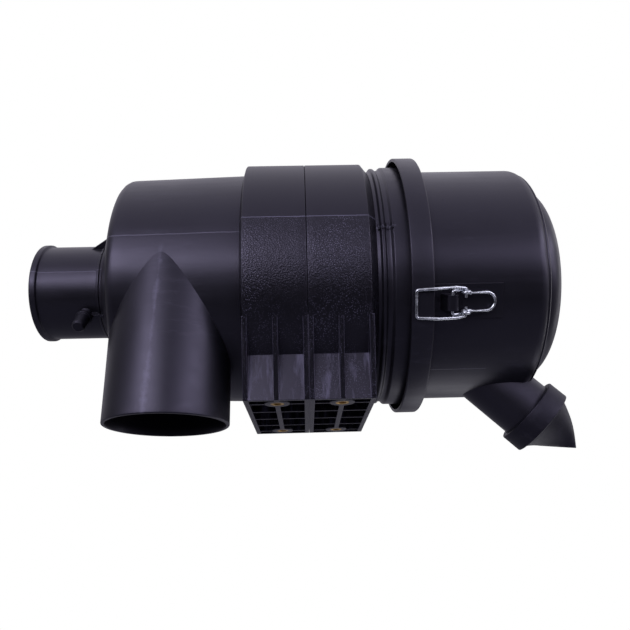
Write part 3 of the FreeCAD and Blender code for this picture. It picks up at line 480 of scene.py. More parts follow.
def mounting_band(name, side, shoulder):
    """The band on one side of the seam: side is 1 towards the cover, -1 towards the outlet. The
    shoulder is where its slanted end starts and stops."""
    def between(low, high):
        return tuple(sorted((side * low, side * high)))

    def slab(label, xs, ys, zs, place=HOUSING_AXIS):
        low, high = between(*xs)
        return block(f"{name}_{label}", (low, ys[0], zs[0]), (high, ys[1], zs[1]), place)

    seat = BARREL[1] + 0.1
    hoop = lathe(f"{name}_hoop", [(side * x, *rest) for x, *rest in [
        (SEAM, seat), (shoulder[1], seat), (shoulder[1], 109.8, 0.5), (shoulder[0], 117.2, 1.2),
        (SEAM, 117.2, 0.8)]])
    low, high = between(SEAM, FOOT_LONG)
    foot = prism(name, [(-FOOT_TOP[0], -FOOT_TOP[1]), (-FOOT_HALF, -FOOT_DEEP), (FOOT_HALF, -FOOT_DEEP),
                        (FOOT_TOP[0], -FOOT_TOP[1])], low, high)
    ribs = (SEAM + RIB / 2, BOLT[0], FOOT_LONG - RIB / 2)
    rows = [-72.5, -60, -30, 0, 30, 60, 72.5]
    pockets = []
    for bay in range(2):
        xs = (ribs[bay] + RIB / 2, ribs[bay + 1] - RIB / 2)
        depth = (-FOOT_DEEP - 1, -FOOT_TOP[1] + 1)
        pockets += [slab(f"front_{bay}", xs, (-110, -FOOT_HALF), depth),
                    slab(f"back_{bay}", xs, (FOOT_HALF, 110), depth)]
        pockets += [slab(f"cell_{bay}_{i}", xs, (rows[i] + GRID_RIB / 2, rows[i + 1] - GRID_RIB / 2), depth)
                    for i in range(6)]
    combine(foot, "DIFFERENCE", pockets)
    bosses = [lathe(f"{name}_boss_{end}", [(0, 0), (0, BOSS_R, 0.5), (50, BOSS_R + 0.6), (50, 0)],
                    along_axis((0, 0, 1), (side * BOLT[0], end * BOLT[1], 0)), 64) for end in (-1, 1)]
    lug_xs = (BOLT[0] - 14, BOLT[0] + 14)
    lugs = [slab(f"lug_{i}", lug_xs, ys, (BARREL[1] + 2, LUG_TOP), turned(LUG_TURN))
            for i, ys in enumerate(((-SPLIT - LUG_THICK, -SPLIT), (SPLIT, SPLIT + LUG_THICK)))]
    combine(foot, "UNION", [hoop] + bosses + lugs)
    bore = lathe(f"{name}_bore", [(-60, 0), (-60, seat), (60, seat), (60, 0)])
    split = slab("split", (SEAM - 1, 60), (-SPLIT, SPLIT), (BARREL[1] - 3, LUG_TOP + 1), turned(LUG_TURN))
    lug_place = turned(LUG_TURN) @ Matrix.Translation(Vector((side * BOLT[0], -30, CLAMP_HEIGHT)) * MM)
    bolt_way = lathe(f"{name}_bolt_way", [(0, 0), (0, 4.3), (60, 4.3), (60, 0)],
                     lug_place @ Matrix.Rotation(math.pi / 2, 4, "Z"), 32)
    holes = [lathe(f"{name}_hole_{end}", [(-1, 0), (-1, 5.65), (19, 5.65), (19, 0)],
                   along_axis((0, 0, 1), (side * BOLT[0], end * BOLT[1], 0)), 48) for end in (-1, 1)]
    return finish(combine(foot, "DIFFERENCE", [bore, split, bolt_way] + holes), nylon)


for side, shoulder, node in ((1, (50.8, 57.0), "mounting_band_right"),
                             (-1, (52.2, 54.6), "mounting_band_left")):
    hoop_and_foot = mounting_band(f"{node}_moulding", side, shoulder)
    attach(hoop_and_foot, "housing")
    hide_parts(node)

# Service cover. One moulding in the same black polypropylene: barrel, domed end with a dished
# middle, the spigot that carries the seal, the slanted drop tube and a bracket for each latch.

COVER_R = 109.3
COVER_FACE = 100.3
DROP_X = 181.3
DROP_ANGLE = 43.8
DROP_R = 27.1
PIVOT = (114.5, 119.0)
cover = lathe("service_cover_moulding", [
    (84, 0), (84, 104.8, 1.2), (88.8, 104.8), (88.8, 103.3), (93.2, 103.3), (93.2, 104.8),
    (COVER_FACE, 104.8), (COVER_FACE, COVER_R, 0.5), (189, COVER_R),
    *arc((189, COVER_R), (197.3, 105.5), 12)[1:], (198.2, 105.9, 0.3), (199.2, 104.9, 0.3),
    (198.4, 103.0, 0.4), (198.4, 95.4, 0.4), *arc((199.0, 95.0), (216.6, 83.2), 22)[1:],
    (216.6, 62, 1.5), (212.2, 59, 1.5), (212.2, 0)])
drop_place = (HOUSING_AXIS @ Matrix.Translation(Vector((DROP_X, 0, -COVER_R)) * MM)
              @ Matrix.Rotation(math.radians(DROP_ANGLE), 4, "Y"))
drop = lathe("drop_tube", [(-46, 0), (-46, DROP_R), (38.5, DROP_R, 0.8), (38.5, 0)], drop_place, 96)
drop_way = lathe("drop_way", [(-51, 0), (-51, DROP_R - WALL), (39.5, DROP_R - WALL), (39.5, 0)],
                 drop_place, 96)
cover_inside = lathe("cover_inside", [
    (83, 0), (83, 99.8), (101.3, 99.8), (105.3, 106.3), (189, 106.3, 8), (195.1, 102, 2), (195.1, 92),
    (207.2, 87.1, 10), (213.2, 76.6), (213.2, 64), (209.2, 60), (209.2, 0)])
brackets = []
pivot_ways = []
for number in range(3):
    place = turned(120 * number)
    brackets.append(block(f"pad_{number}", (COVER_FACE, -14, 105), (158, 14, 110.4), place))
    brackets.append(prism(f"post_{number}", [(x, z) for x, z in rounded([
        (PIVOT[0] - 9, 105), (PIVOT[0] - 4.2, PIVOT[1] + 4.2, 4.0), (PIVOT[0] + 4.2, PIVOT[1] + 4.2, 4.0),
        (PIVOT[0] + 6.5, 105)], 8)], -6.4, 6.4, place, "y"))
    pivot_ways.append(lathe(f"pivot_way_{number}", [(-8, 0), (-8, 1.55), (8, 1.55), (8, 0)],
                            place @ Matrix.Translation(Vector((PIVOT[0], 0, PIVOT[1])) * MM)
                            @ Matrix.Rotation(math.pi / 2, 4, "Z"), 24))
combine(cover, "UNION", [drop] + brackets)
combine(cover, "DIFFERENCE", [cover_inside, drop_way] + pivot_ways)
combine(cover, "UNION", [lathe("element_post", [(191.5, 24, 0.4), (211, 24), (211, 27), (191.5, 27, 0.4)])])
cover_plastic = satin_moulding("polypropylene_cover", "0d0d11", "33323e", 0.34, 26.0, 0.0005, 0.150)
finish(cover, cover_plastic)
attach(cover, "cover")
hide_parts("cover_spigot", "service_cover", "cover_end", "drop_tube")

# Dust valve. Soft black rubber, stretched over the drop tube: a thick collar and a bill flattened
# to a slanted lip, which the engine's intake pulses open and shut.


def moulded_rubber(name, dark, roughness):
    """Nitrile rubber from a vapour-blasted mould: almost black, dull, with a patchy bloom."""
    material, tree, shader, place = new_material(name, {"IOR": 1.52, "Specular IOR Level": 0.4,
                                                        "Specular Tint": LAVENDER})
    bloom = add(tree, NOISE, {"Scale": 60.0, "Detail": 6.0, "Roughness": 0.7, "Vector": place})
    skin = add(tree, NOISE, {"Scale": 900.0, "Detail": 2.0, "Vector": place})
    bloomed = add(tree, MAP_RANGE, [bloom, 0.5, 0.75, 0.0, 0.5])
    tint = add(tree, "ShaderNodeMix", {0: bloomed, 6: linear(dark), 7: linear("34333c")}, data_type="RGBA")
    tree.links.new(tint.outputs[2], shader.inputs["Base Color"])
    dullness = add(tree, MAP_RANGE, [bloom, 0.35, 0.7, roughness, roughness + 0.14])
    tree.links.new(dullness.outputs[0], shader.inputs["Roughness"])
    soft_edges = add(tree, "ShaderNodeBevel", {"Radius": 0.0006}, samples=4)
    bump = add(tree, "ShaderNodeBump", {"Strength": 0.2, "Distance": 0.0002, "Height": skin,
                                        "Normal": soft_edges})
    tree.links.new(bump.outputs[0], shader.inputs["Normal"])
    return material


rubber = moulded_rubber("nitrile_rubber", "0f0f15", 0.42)
LIP_START = Vector((45.6, 0, -22.5))
LIP_END = Vector((76.3, 0, 2.1))


def bill_ring(mouth, start, half_thick, inset, share, count=96):
    """One ring of the bill: a circle at its mouth that turns into the flat lip."""
    along = (LIP_END - LIP_START).normalized()
    middle = (LIP_START + LIP_END) / 2 - Vector((inset, 0, -inset * 0.3))
    half = (LIP_END - LIP_START).length / 2 - inset
    ring = []
    for k in range(count):
        turn = math.tau * k / count
        round_spot = Vector((start, mouth * math.sin(turn), mouth * math.cos(turn)))
        flat_spot = middle + along * half * math.cos(turn) + Vector((0, half_thick * math.sin(turn), 0))
        swell = math.sin(math.pi * share) * 0.06 * mouth
        spot = round_spot.lerp(flat_spot, share)
        ring.append(spot + Vector((0, math.sin(turn), 0)) * swell
                    + Vector((1.3, 0, 1.3)) * max(math.cos(turn), 0) * swell)
    return ring


def bill_skin(name, mouth, start, half_thick, inset, rows=14):
    bm = bmesh.new()
    rings = [[bm.verts.new(p) for p in bill_ring(mouth, start, half_thick, inset, k / rows)]
             for k in range(rows + 1)]
    for low, high in zip(rings, rings[1:]):
        for k in range(len(low)):
            after = (k + 1) % len(low)
            bm.faces.new((low[k], low[after], high[after], high[k]))
    bm.faces.new(rings[0])
    bm.faces.new(rings[-1])
    return new_piece(name, bm, drop_place)


valve = lathe("dust_valve_rubber", [
    (22.9, DROP_R + 0.1, 0.6), (38.7, DROP_R + 0.1), (38.7, 24.4), (42.0, 24.4), (42.0, 27.6),
    (41.0, 31.0), (40.9, 32.2, 2.4), (23.1, 32.2, 3.0), (22.9, 30.0)], drop_place, 128)
combine(valve, "UNION", [bill_skin("bill", 28.2, 40.6, 1.2, 0.0)])
combine(valve, "DIFFERENCE", [bill_skin("bill_inside", 25.4, 38.0, 0.3, 2.6)])
finish(valve, rubber, 40)
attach(valve, "cover")
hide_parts("dust_valve")

# Latches. Each is bent from 2.5 mm spring wire and zinc plated: a lever whose ends pivot in the
# cover's bracket, and a bail whose ends turn in through the lever's eyes and whose cross bar pulls
# on the rim. The lever's legs are stamped flat where a thumb lifts them.

WIRE = 1.25
EYE_REACH = 11.2
LEVER_SLOPE = math.radians(9)
LEVER_WAY = Vector((math.cos(LEVER_SLOPE), 0, -math.sin(LEVER_SLOPE)))
EYE = Vector((PIVOT[0], 0, PIVOT[1])) + LEVER_WAY * EYE_REACH
RIM_R = 122.1


def zinc_plate(name, colour, roughness):
    """Bright zinc over drawn wire: a blue-white metal with dull patches."""
    material, tree, shader, place = new_material(name, {"Metallic": 1.0})
    patches = add(tree, NOISE, {"Scale": 240.0, "Detail": 4.0, "Vector": place})
    shade = add(tree, MAP_RANGE, [patches, 0.35, 0.65, 0.72, 1.1])
    tint = add(tree, "ShaderNodeHueSaturation", {"Color": linear(colour), "Value": shade})
    tree.links.new(tint.outputs[0], shader.inputs["Base Color"])
    dullness = add(tree, MAP_RANGE, [patches, 0.35, 0.7, roughness, roughness + 0.22])
    tree.links.new(dullness.outputs[0], shader.inputs["Roughness"])
    bump = add(tree, "ShaderNodeBump", {"Strength": 0.15, "Distance": 0.0001, "Height": patches})
    tree.links.new(bump.outputs[0], shader.inputs["Normal"])
    return material


zinc = zinc_plate("bright_zinc_wire", "d9dde6", 0.16)


def bent(points, bends, steps=6):
    """The points of a wire's centre line, with an arc of its own radius at each inner point."""
    line = [points[0]]
    for i in range(1, len(points) - 1):
        before = (points[i - 1] - points[i]).normalized()
        after = (points[i + 1] - points[i]).normalized()
        half_turn = (math.pi - before.angle(after)) / 2
        leg = bends[i - 1] * math.tan(half_turn)
        centre = points[i] + (before + after).normalized() * (bends[i - 1] / math.cos(half_turn))
        start, end = points[i] + before * leg - centre, points[i] + after * leg - centre
        count = max(steps, int(start.angle(end) * 8))
        line += [centre + start.slerp(end, k / count).normalized() * bends[i - 1] for k in range(count + 1)]
    return line + [points[-1]]


def wire_piece(name, line, place, flat=None):
    """A round wire along a line, with its ends closed; flat gives how much each point is stamped."""
    bm = bmesh.new()
    rings = []
    sides = 20
    up = Vector((0, 0, 1))
    for i, spot in enumerate(line):
        way = (line[min(i + 1, len(line) - 1)] - line[max(i - 1, 0)]).normalized()
        up = (up - way * way.dot(up)).normalized()
        squeeze = flat(spot) if flat else 0.0
        tall = up * WIRE * (1 - squeeze)
        wide = way.cross(up) * WIRE * (1 + squeeze * 0.8)
        rings.append([bm.verts.new(spot + tall * math.cos(math.tau * k / sides)
                                   + wide * math.sin(math.tau * k / sides)) for k in range(sides)])
    for low, high in zip(rings, rings[1:]):
        for k in range(sides):
            after = (k + 1) % sides
            bm.faces.new((low[k], low[after], high[after], high[k]))
    bm.faces.new(rings[0])
    bm.faces.new(rings[-1])
    return new_piece(name, bm, place)


def both_sides(spots):
    there = [Vector((spot.x, side, spot.z)) for spot, side in spots]
    return there + [Vector((p.x, -p.y, p.z)) for p in reversed(there)]


def stamped(spot):
    """The legs are squeezed flat over a few millimetres behind the eyes."""
    reach = (spot - EYE).dot(LEVER_WAY)
    return 0.3 if 5.5 < reach < 14.0 and abs(spot.y) > 5 else 0.0


COIL_R = 2.9
LEVER_UP = Vector((math.sin(LEVER_SLOPE), 0, math.cos(LEVER_SLOPE)))
pivot = Vector((PIVOT[0], 0, PIVOT[1]))
finger_end = pivot + LEVER_WAY * 36
coil = [EYE + (LEVER_WAY * math.sin(t) - LEVER_UP * math.cos(t)) * COIL_R
        + Vector((0, 9.6 - 2.6 * t / math.tau, 0)) for t in (math.tau * k / 28 for k in range(29))]
pivot_leg = bent([pivot + Vector((0, 2.4, 0)), pivot + Vector((0, 9.6, 0)), coil[0]], [1.6])
finger_leg = bent([coil[-1], EYE + LEVER_WAY * 6 + Vector((0, 7.2, 0)), finger_end + Vector((0, 7.4, 0)),
                   finger_end], [16.0, 7.3], 12)
half_lever = pivot_leg + coil + finger_leg[1:]
lever_line = half_lever[:-1] + [Vector((p.x, -p.y, p.z)) for p in reversed(half_lever)]

for number, side in enumerate(("top", "front", "back")):
    place = turned(120 * number)
    lever = finish(wire_piece(f"latch_lever_wire_{side}", lever_line, place, stamped), zinc, 50)
    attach(lever, f"lever_{side}")
    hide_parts(f"latch_lever_{side}")
    cross = Vector((85.0, 0, RIM_R + 0.3 + WIRE))
    knee = Vector((101.7, 0, cross.z))
    way = (knee - EYE).normalized()
    half_bail = [(EYE, 3.6), (EYE, 11.2), (EYE + way * 8, 12.2), (knee, 11.9), (cross, 11.0)]
    bail_line = bent(both_sides(half_bail), [1.8, 6.0, 5.0, 2.0, 2.0, 5.0, 6.0, 1.8])
    bail = finish(wire_piece(f"latch_bail_wire_{side}", bail_line, place), zinc, 50)
    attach(bail, f"bail_{side}")
    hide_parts(f"latch_bail_{side}")

# Restriction port cap. A soft black rubber cap pushed over the port; it comes off when a gauge is
# fitted.

port_cap = lathe("restriction_port_cap_rubber", [
    (50.0, 4.1, 0.2), (66.3, 4.1), (66.3, 0), (69.0, 0), (69.0, 4.4, 1.0), (66.8, 5.9, 1.0), (54.0, 5.9, 0.5),
    (53.4, 7.2, 0.6), (50.0, 7.2, 0.6)],
    port_place, 64)
finish(port_cap, rubber)
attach(port_cap, "housing")
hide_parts("restriction_port_cap")

# Brass inserts. Four knurled bushes moulded into the feet, threaded M8. Geometry Nodes set one
# insert at each corner of the bolt pattern.


def machined_metal(name, colour, roughness, grooves):
    """A turned metal: fine tool marks, and a film of handling tarnish."""
    material, tree, shader, place = new_material(name, {"Metallic": 1.0})
    film = add(tree, NOISE, {"Scale": 180.0, "Detail": 5.0, "Vector": place})
    marks = add(tree, NOISE, {"Scale": grooves, "Detail": 1.0, "Vector": place})
    shade = add(tree, MAP_RANGE, [film, 0.35, 0.65, 0.65, 1.08])
    tint = add(tree, "ShaderNodeHueSaturation", {"Color": linear(colour), "Value": shade})
    tree.links.new(tint.outputs[0], shader.inputs["Base Color"])
    dullness = add(tree, MAP_RANGE, [film, 0.35, 0.7, roughness, roughness + 0.2])
    tree.links.new(dullness.outputs[0], shader.inputs["Roughness"])
    bump = add(tree, "ShaderNodeBump", {"Strength": 0.2, "Distance": 0.0001, "Height": marks})
    tree.links.new(bump.outputs[0], shader.inputs["Normal"])
    return material


brass = machined_metal("turned_brass", "e0bd78", 0.34, 1400.0)


def group_socket(tree, name, kind):
    """A named input of a Geometry Nodes group, and the identifier that the modifier knows it by."""
    return tree.interface.new_socket(name=name, in_out="INPUT", socket_type=kind).identifier


def grown(name, build, values, place=Matrix.Identity(4)):
    """A mesh made by a Geometry Nodes group: build lays out its nodes, values fill its inputs."""
    tree = bpy.data.node_groups.new(name, "GeometryNodeTree")
    tree.interface.new_socket(name="Geometry", in_out="OUTPUT", socket_type="NodeSocketGeometry")
    sockets = {label: group_socket(tree, label, kind) for label, (kind, _) in values.items()}
    start = tree.nodes.new("NodeGroupInput")
    instances = build(tree, start)
    real = add(tree, "GeometryNodeRealizeInstances", [instances])
    coat = add(tree, "GeometryNodeSetMaterial", {0: real, "Material": start.outputs["Material"]})
    add(tree, "NodeGroupOutput", [coat])
    piece = bpy.data.objects.new(name, bpy.data.meshes.new(name))
    scene.collection.objects.link(piece)
    grower = piece.modifiers.new(name, "NODES")
    grower.node_group = tree
    for label, (_, value) in values.items():
        grower[sockets[label]] = value
    bpy.context.view_layer.update()
    mesh = bpy.data.meshes.new_from_object(piece.evaluated_get(bpy.context.evaluated_depsgraph_get()))
    piece.modifiers.clear()
    piece.data = mesh
    mesh.transform(place)
    return piece


def template(piece):
    """Keep a piece only as a shape for Geometry Nodes to repeat."""
    scene.collection.objects.unlink(piece)
    return piece


def repeat_at_corners(tree, start):
    """The shape at the four corners of a rectangle."""
    corners = add(tree, "GeometryNodeMeshGrid", {"Vertices X": 2, "Vertices Y": 2,
                                                 "Size X": start.outputs["Length"],
                                                 "Size Y": start.outputs["Width"]})
    spots = add(tree, "GeometryNodeMeshToPoints", [corners])
    shape = add(tree, "GeometryNodeObjectInfo", [start.outputs["Shape"]], transform_space="RELATIVE")
    return add(tree, "GeometryNodeInstanceOnPoints", {0: spots, "Instance": shape.outputs["Geometry"]})


bush = lathe("bush", [
    (0, 3.4, 0.4), (18, 3.4, 0.4), (18, 5.6, 0.3), (10.5, 5.6), (10.0, 5.1), (8.6, 5.1), (8.1, 5.6),
    (0, 5.6, 0.4)], along_axis((0, 0, 1), (0, 0, 0)), 64)
inserts = grown("threaded_insert_set", repeat_at_corners, {
    "Shape": ("NodeSocketObject", template(bush)), "Length": ("NodeSocketFloat", 2 * BOLT[0] * MM),
    "Width": ("NodeSocketFloat", 2 * BOLT[1] * MM), "Material": ("NodeSocketMaterial", brass)})
bpy.data.objects.remove(bush)
finish(inserts, brass)
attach(inserts, "housing")
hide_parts("threaded_inserts")

# Clamp screws. An M8 screw, two washers and a nut in each band's lugs pull the split shut.

plated = machined_metal("zinc_plated_fastener", "cdd1d8", 0.24, 900.0)


def six_sided(name, across, low, high, place):
    """A hexagon head with the round chamfer of its top."""
    corners = [(across * math.cos(math.tau * k / 6), across * math.sin(math.tau * k / 6)) for k in range(6)]
    head = prism(name, corners, low, high, place)
    turning = lathe(f"{name}_chamfer", [
        (low, 0), (low, across - 0.9), (low + 0.7, across + 0.2), (high - 0.7, across + 0.2),
        (high, across - 0.9), (high, 0)], place, 64)
    return combine(head, "INTERSECT", [turning])


def clamp_place(side):
    """The screw's line through a band's lugs, with X along it and zero in the middle of the split."""
    return (turned(LUG_TURN) @ Matrix.Translation(Vector((side * BOLT[0], 0, CLAMP_HEIGHT)) * MM)
            @ Matrix.Rotation(math.pi / 2, 4, "Z"))


FACE = SPLIT + LUG_THICK
screws, washers, nuts = [], [], []
for side in (-1, 1):
    place = clamp_place(side)
    shank = lathe("clamp_screw_shank", [(-FACE - 10, 0), (-FACE - 10, 3.3, 0.2), (-FACE - 9.2, 4.0, 0.2),
                                        (FACE + 2, 4.0), (FACE + 2, 0)], place, 48)
    head = six_sided("clamp_screw_head", 7.5, FACE + 1.6, FACE + 6.9, place)
    screws.append(combine(shank, "UNION", [head]))
    for face in (-FACE - 1.6, FACE):
        washers.append(lathe("clamp_washer", [
            (face, 4.1, 0.2), (face + 1.6, 4.1, 0.2), (face + 1.6, 8.0, 0.3), (face, 8.0, 0.3)], place, 64))
    nut = six_sided("clamp_nut", 7.5, -FACE - 8.1, -FACE - 1.6, place)
    nut_way = lathe("nut_way", [(-60, 0), (-60, 4.05), (0, 4.05), (0, 0)], place, 48)
    nuts.append(combine(nut, "DIFFERENCE", [nut_way]))


def joined(name, pieces):
    """One object from several."""
    bm = bmesh.new()
    for piece in pieces:
        bm.from_mesh(piece.data)
        bpy.data.objects.remove(piece)
    mesh = bpy.data.meshes.new(name)
    bm.to_mesh(mesh)
    bm.free()
    whole = bpy.data.objects.new(name, mesh)
    scene.collection.objects.link(whole)
    return whole


for label, pieces, node in (("clamp_screws", screws, "band_clamp_bolts"),
                            ("clamp_washers", washers, "band_clamp_washers"),
                            ("clamp_nuts", nuts, "band_clamp_nuts")):
    fastener = finish(joined(label, pieces), plated)
    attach(fastener, "housing")
    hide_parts(node)

# Seal ring and dust baffle, both carried by the cover: a black rubber cord in the spigot's groove,
# and a thin polypropylene sleeve that keeps the separated dust away from the element.

seal = lathe("cover_seal_cord", [(91 + 2 * math.cos(t), 105.4 + 2 * math.sin(t))
                                 for t in (math.tau * k / 20 for k in range(20))])
finish(seal, rubber, 60)
baffle = lathe("dust_baffle_sleeve", [
    (112.3, 85.8, 0.5), (192, 85.8, 0.5), (192, 88, 0.5), (112.3, 88, 0.5)])
finish(baffle, polypropylene)
for piece, node, material_slot in ((seal, "cover_seal_ring", "black_rubber"),
                                   (baffle, "dust_baffle", "black_polypropylene")):
    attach(piece, "cover")
    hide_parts(node)

# Primary element. Deep pleats of resin-treated paper stand between two perforated steel liners, and
# both ends are moulded into black polyurethane caps.


def cast_foam(name, dark):
    """Polyurethane cast against a steel mould: a tight skin with a few pin holes left by bubbles."""
    material, tree, shader, place = new_material(name, {"IOR": 1.5, "Roughness": 0.55,
                                                        "Specular IOR Level": 0.4})
    bubbles = add(tree, "ShaderNodeTexVoronoi", {"Scale": 260.0, "Randomness": 1.0, "Vector": place})
    pits = add(tree, MAP_RANGE, [bubbles.outputs["Distance"], 0.05, 0.16, 0.0, 1.0])
    dust = add(tree, NOISE, {"Scale": 30.0, "Detail": 5.0, "Vector": place})
    dusty = add(tree, MAP_RANGE, [dust, 0.35, 0.7, 0.75, 1.5])
    tint = add(tree, "ShaderNodeHueSaturation", {"Color": linear(dark), "Value": dusty})
    tree.links.new(tint.outputs[0], shader.inputs["Base Color"])
    bump = add(tree, "ShaderNodeBump", {"Strength": 0.4, "Distance": 0.0003, "Height": pits})
    tree.links.new(bump.outputs[0], shader.inputs["Normal"])
    return material


def fibrous(name, pale, deep, scale):
    """A fibrous sheet: fibres lie every way, in paler and deeper strands."""
    material, tree, shader, place = new_material(name, {"Roughness": 0.9, "Specular IOR Level": 0.2})
    fibres = add(tree, NOISE, {"Scale": scale, "Detail": 6.0, "Roughness": 0.8, "Distortion": 1.2,
                               "Vector": place})
    raised = add(tree, MAP_RANGE, [fibres, 0.35, 0.65, 0.0, 1.0])
    tint = add(tree, "ShaderNodeMix", {0: raised, 6: linear(deep), 7: linear(pale)}, data_type="RGBA")
    tree.links.new(tint.outputs[2], shader.inputs["Base Color"])
    bump = add(tree, "ShaderNodeBump", {"Strength": 0.5, "Distance": 0.0004, "Height": fibres})
    tree.links.new(bump.outputs[0], shader.inputs["Normal"])
    return material


urethane = cast_foam("cast_polyurethane", "17171b")
paper = fibrous("pleated_cellulose", "d9cba0", "b7a574", 700.0)
felt = fibrous("needled_felt", "dedcd4", "b9b7b0", 420.0)
galvanised = machined_metal("galvanised_liner", "b4b8bd", 0.36, 260.0)


def turned_row(tree, start):
    """The shape repeated around the X axis: one fold of the pleats, or one strip of a liner."""
    shape = add(tree, "GeometryNodeObjectInfo", [start.outputs["Shape"]], transform_space="RELATIVE")
    line = add(tree, "GeometryNodeMeshLine", {"Offset": (0, 0, 0), "Count": start.outputs["Count"]})
    index = add(tree, "GeometryNodeInputIndex")
    turn = add(tree, MATH, [math.tau, start.outputs["Count"]], operation="DIVIDE")
    angle = add(tree, MATH, [index, turn], operation="MULTIPLY")
    euler = add(tree, "ShaderNodeCombineXYZ", {"X": angle})
    return add(tree, "GeometryNodeInstanceOnPoints", {0: line, "Instance": shape.outputs["Geometry"],
                                                      "Rotation": euler})


def pleats(name, inner, outer, low, high, count, material, node, body):
    """A ring of pleats from one folded strip, closed at its ends by the caps."""
    half = math.pi / count
    thick = 0.35
    outline = [(-half, inner), (-half * 0.15, outer), (half * 0.15, outer), (half, inner)]
    skin = [(r * math.sin(t), r * math.cos(t)) for t, r in outline]
    under = [(r * math.sin(t), (r - thick * 3) * math.cos(t)) for t, r in reversed(outline[1:3])]
    root = (inner * math.sin(half) * 0.9, inner * math.cos(half) - thick)
    strip = prism("fold", skin + [root] + under + [(-root[0], root[1])], low, high, Matrix.Identity(4))
    ring = grown(name, turned_row, {
        "Shape": ("NodeSocketObject", template(strip)), "Count": ("NodeSocketInt", count),
        "Material": ("NodeSocketMaterial", material)}, HOUSING_AXIS)
    bpy.data.objects.remove(strip)
    finish(ring, material, 20)
    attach(ring, body)
    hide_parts(node)


pleats("primary_pleats", 58.0, 77.6, -149, 176, 150, paper, "primary_media", "primary_element")


def perforated(name, radius, thick, low, high, count, holes, node, body):
    """A liner rolled from perforated sheet: one strip with its row of holes, repeated around."""
    half = math.pi / count
    bm = bmesh.new()
    pitch = (high - low) / holes
    width = 2 * radius * half
    hole = min(pitch, width) * 0.30
    for k in range(holes):
        for level in (radius, radius + thick):
            middle = low + pitch * (k + 0.5)
            outer_ring, inner_ring = [], []
            for j in range(12):
                t = math.tau * (j + 0.5) / 12
                c, s = math.cos(t), math.sin(t)
                reach = 1 / max(abs(c) / (pitch / 2), abs(s) / (width / 2))
                for bucket, size_here in ((outer_ring, reach), (inner_ring, hole)):
                    across = s * size_here
                    bucket.append(bm.verts.new((middle + c * size_here, level * math.sin(across / radius),
                                                level * math.cos(across / radius))))
            for j in range(12):
                after = (j + 1) % 12
                bm.faces.new((outer_ring[j], outer_ring[after], inner_ring[after], inner_ring[j]))
    strip = new_piece("perforated_strip", bm, Matrix.Identity(4))
    liner = grown(name, turned_row, {
        "Shape": ("NodeSocketObject", template(strip)), "Count": ("NodeSocketInt", count),
        "Material": ("NodeSocketMaterial", galvanised)}, HOUSING_AXIS)
    bpy.data.objects.remove(strip)
    finish(liner, galvanised)
    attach(liner, body)
    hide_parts(node)


for name, radius, count, node in (("primary_outer_perforated", 78.1, 60, "primary_outer_liner"),
                                  ("primary_inner_perforated", 57.0, 44, "primary_inner_liner")):
    perforated(name, radius, 0.6, -149, 176, count, 36, node, "primary_element")

open_cap = lathe("primary_open_cap_cast", [
    (-163, 53.3), (-161, 52.3), (-149, 52.3), (-149, 80.5), (-161, 80.5, 2), (-163, 78.5, 1), (-163, 72),
    (-161.6, 70), (-161.6, 62), (-163, 60)])
closed_cap = lathe("primary_closed_cap_cast", [
    (176, 0), (185, 0), (185, 20, 2), (190, 22, 2), (190, 60), (188.8, 62), (188.8, 68), (190, 70),
    (190, 78.5, 1), (188, 80.5, 1), (176, 80.5)])

# Safety element. A thin felt sleeve on its own perforated core, inside the primary one: it keeps the
# engine's air clean while the primary element is changed.

safety_open = lathe("safety_open_cap_cast", [
    (-177, 36, 1), (-141, 36), (-141, 46.5, 1), (-145, 46.5), (-145, 47.2), (-174, 47.2, 1), (-177, 45.2, 1)])
safety_closed = lathe("safety_closed_cap_cast", [
    (150, 0), (158, 0), (158, 12), (156.5, 14), (156.5, 30), (158, 32), (158, 45, 1), (156.5, 46.5, 1),
    (150, 46.5)])
for piece, node, body in ((open_cap, "primary_open_cap", "primary_element"),
                          (closed_cap, "primary_closed_cap", "primary_element"),
                          (safety_open, "safety_open_cap", "safety_element"),
                          (safety_closed, "safety_closed_cap", "safety_element")):
    finish(piece, urethane)
    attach(piece, body)
    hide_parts(node)
pleats("safety_pleats", 37.2, 45.8, -141, 150, 90, felt, "safety_media", "safety_element")
perforated("safety_perforated", 36.0, 0.6, -141, 150, 32, 36, "safety_core", "safety_element")

# Floor, backdrop, lights and camera. The housing is held up in the air, seen from low in front. The
# pale floor throws back less light than it shows, so the underside of the housing stays dark.

floor_mesh = bmesh.new()
bmesh.ops.create_grid(floor_mesh, x_segments=1, y_segments=1, size=2000)
floor = new_piece("floor", floor_mesh, Matrix.Translation((0, 1.1, -0.75)))
pale, tree, shader, place = new_material("pale_floor", {"Roughness": 0.9, "Specular IOR Level": 0.1})
grain = add(tree, NOISE, {"Scale": 3.0, "Detail": 3.0, "Vector": place})
looked_at = add(tree, "ShaderNodeLightPath").outputs["Is Camera Ray"]
mottled = add(tree, MAP_RANGE, [grain, 0.3, 0.7, 0.97, 1.03])
lifted = add(tree, MAP_RANGE, [looked_at, 0.0, 1.0, 1.0, 3.4])
paleness = add(tree, MATH, [mottled, lifted], operation="MULTIPLY")
tint = add(tree, "ShaderNodeHueSaturation", {"Color": linear("7f8086"), "Value": paleness})
tree.links.new(tint.outputs[0], shader.inputs["Base Color"])
finish(floor, pale)

# The studio: white to the camera, and for the object a bright band low in front, a softer ceiling,
# a grey back wall and a dark floor in front.
world = bpy.data.worlds.new("studio")
scene.world = world
world.use_nodes = True
sky = world.node_tree
sky.nodes.clear()
way = add(sky, "ShaderNodeTexCoord").outputs["Generated"]
split_way = add(sky, "ShaderNodeSeparateXYZ", {"Vector": way})
ACROSS, BEHIND, HEIGHT = split_way.outputs

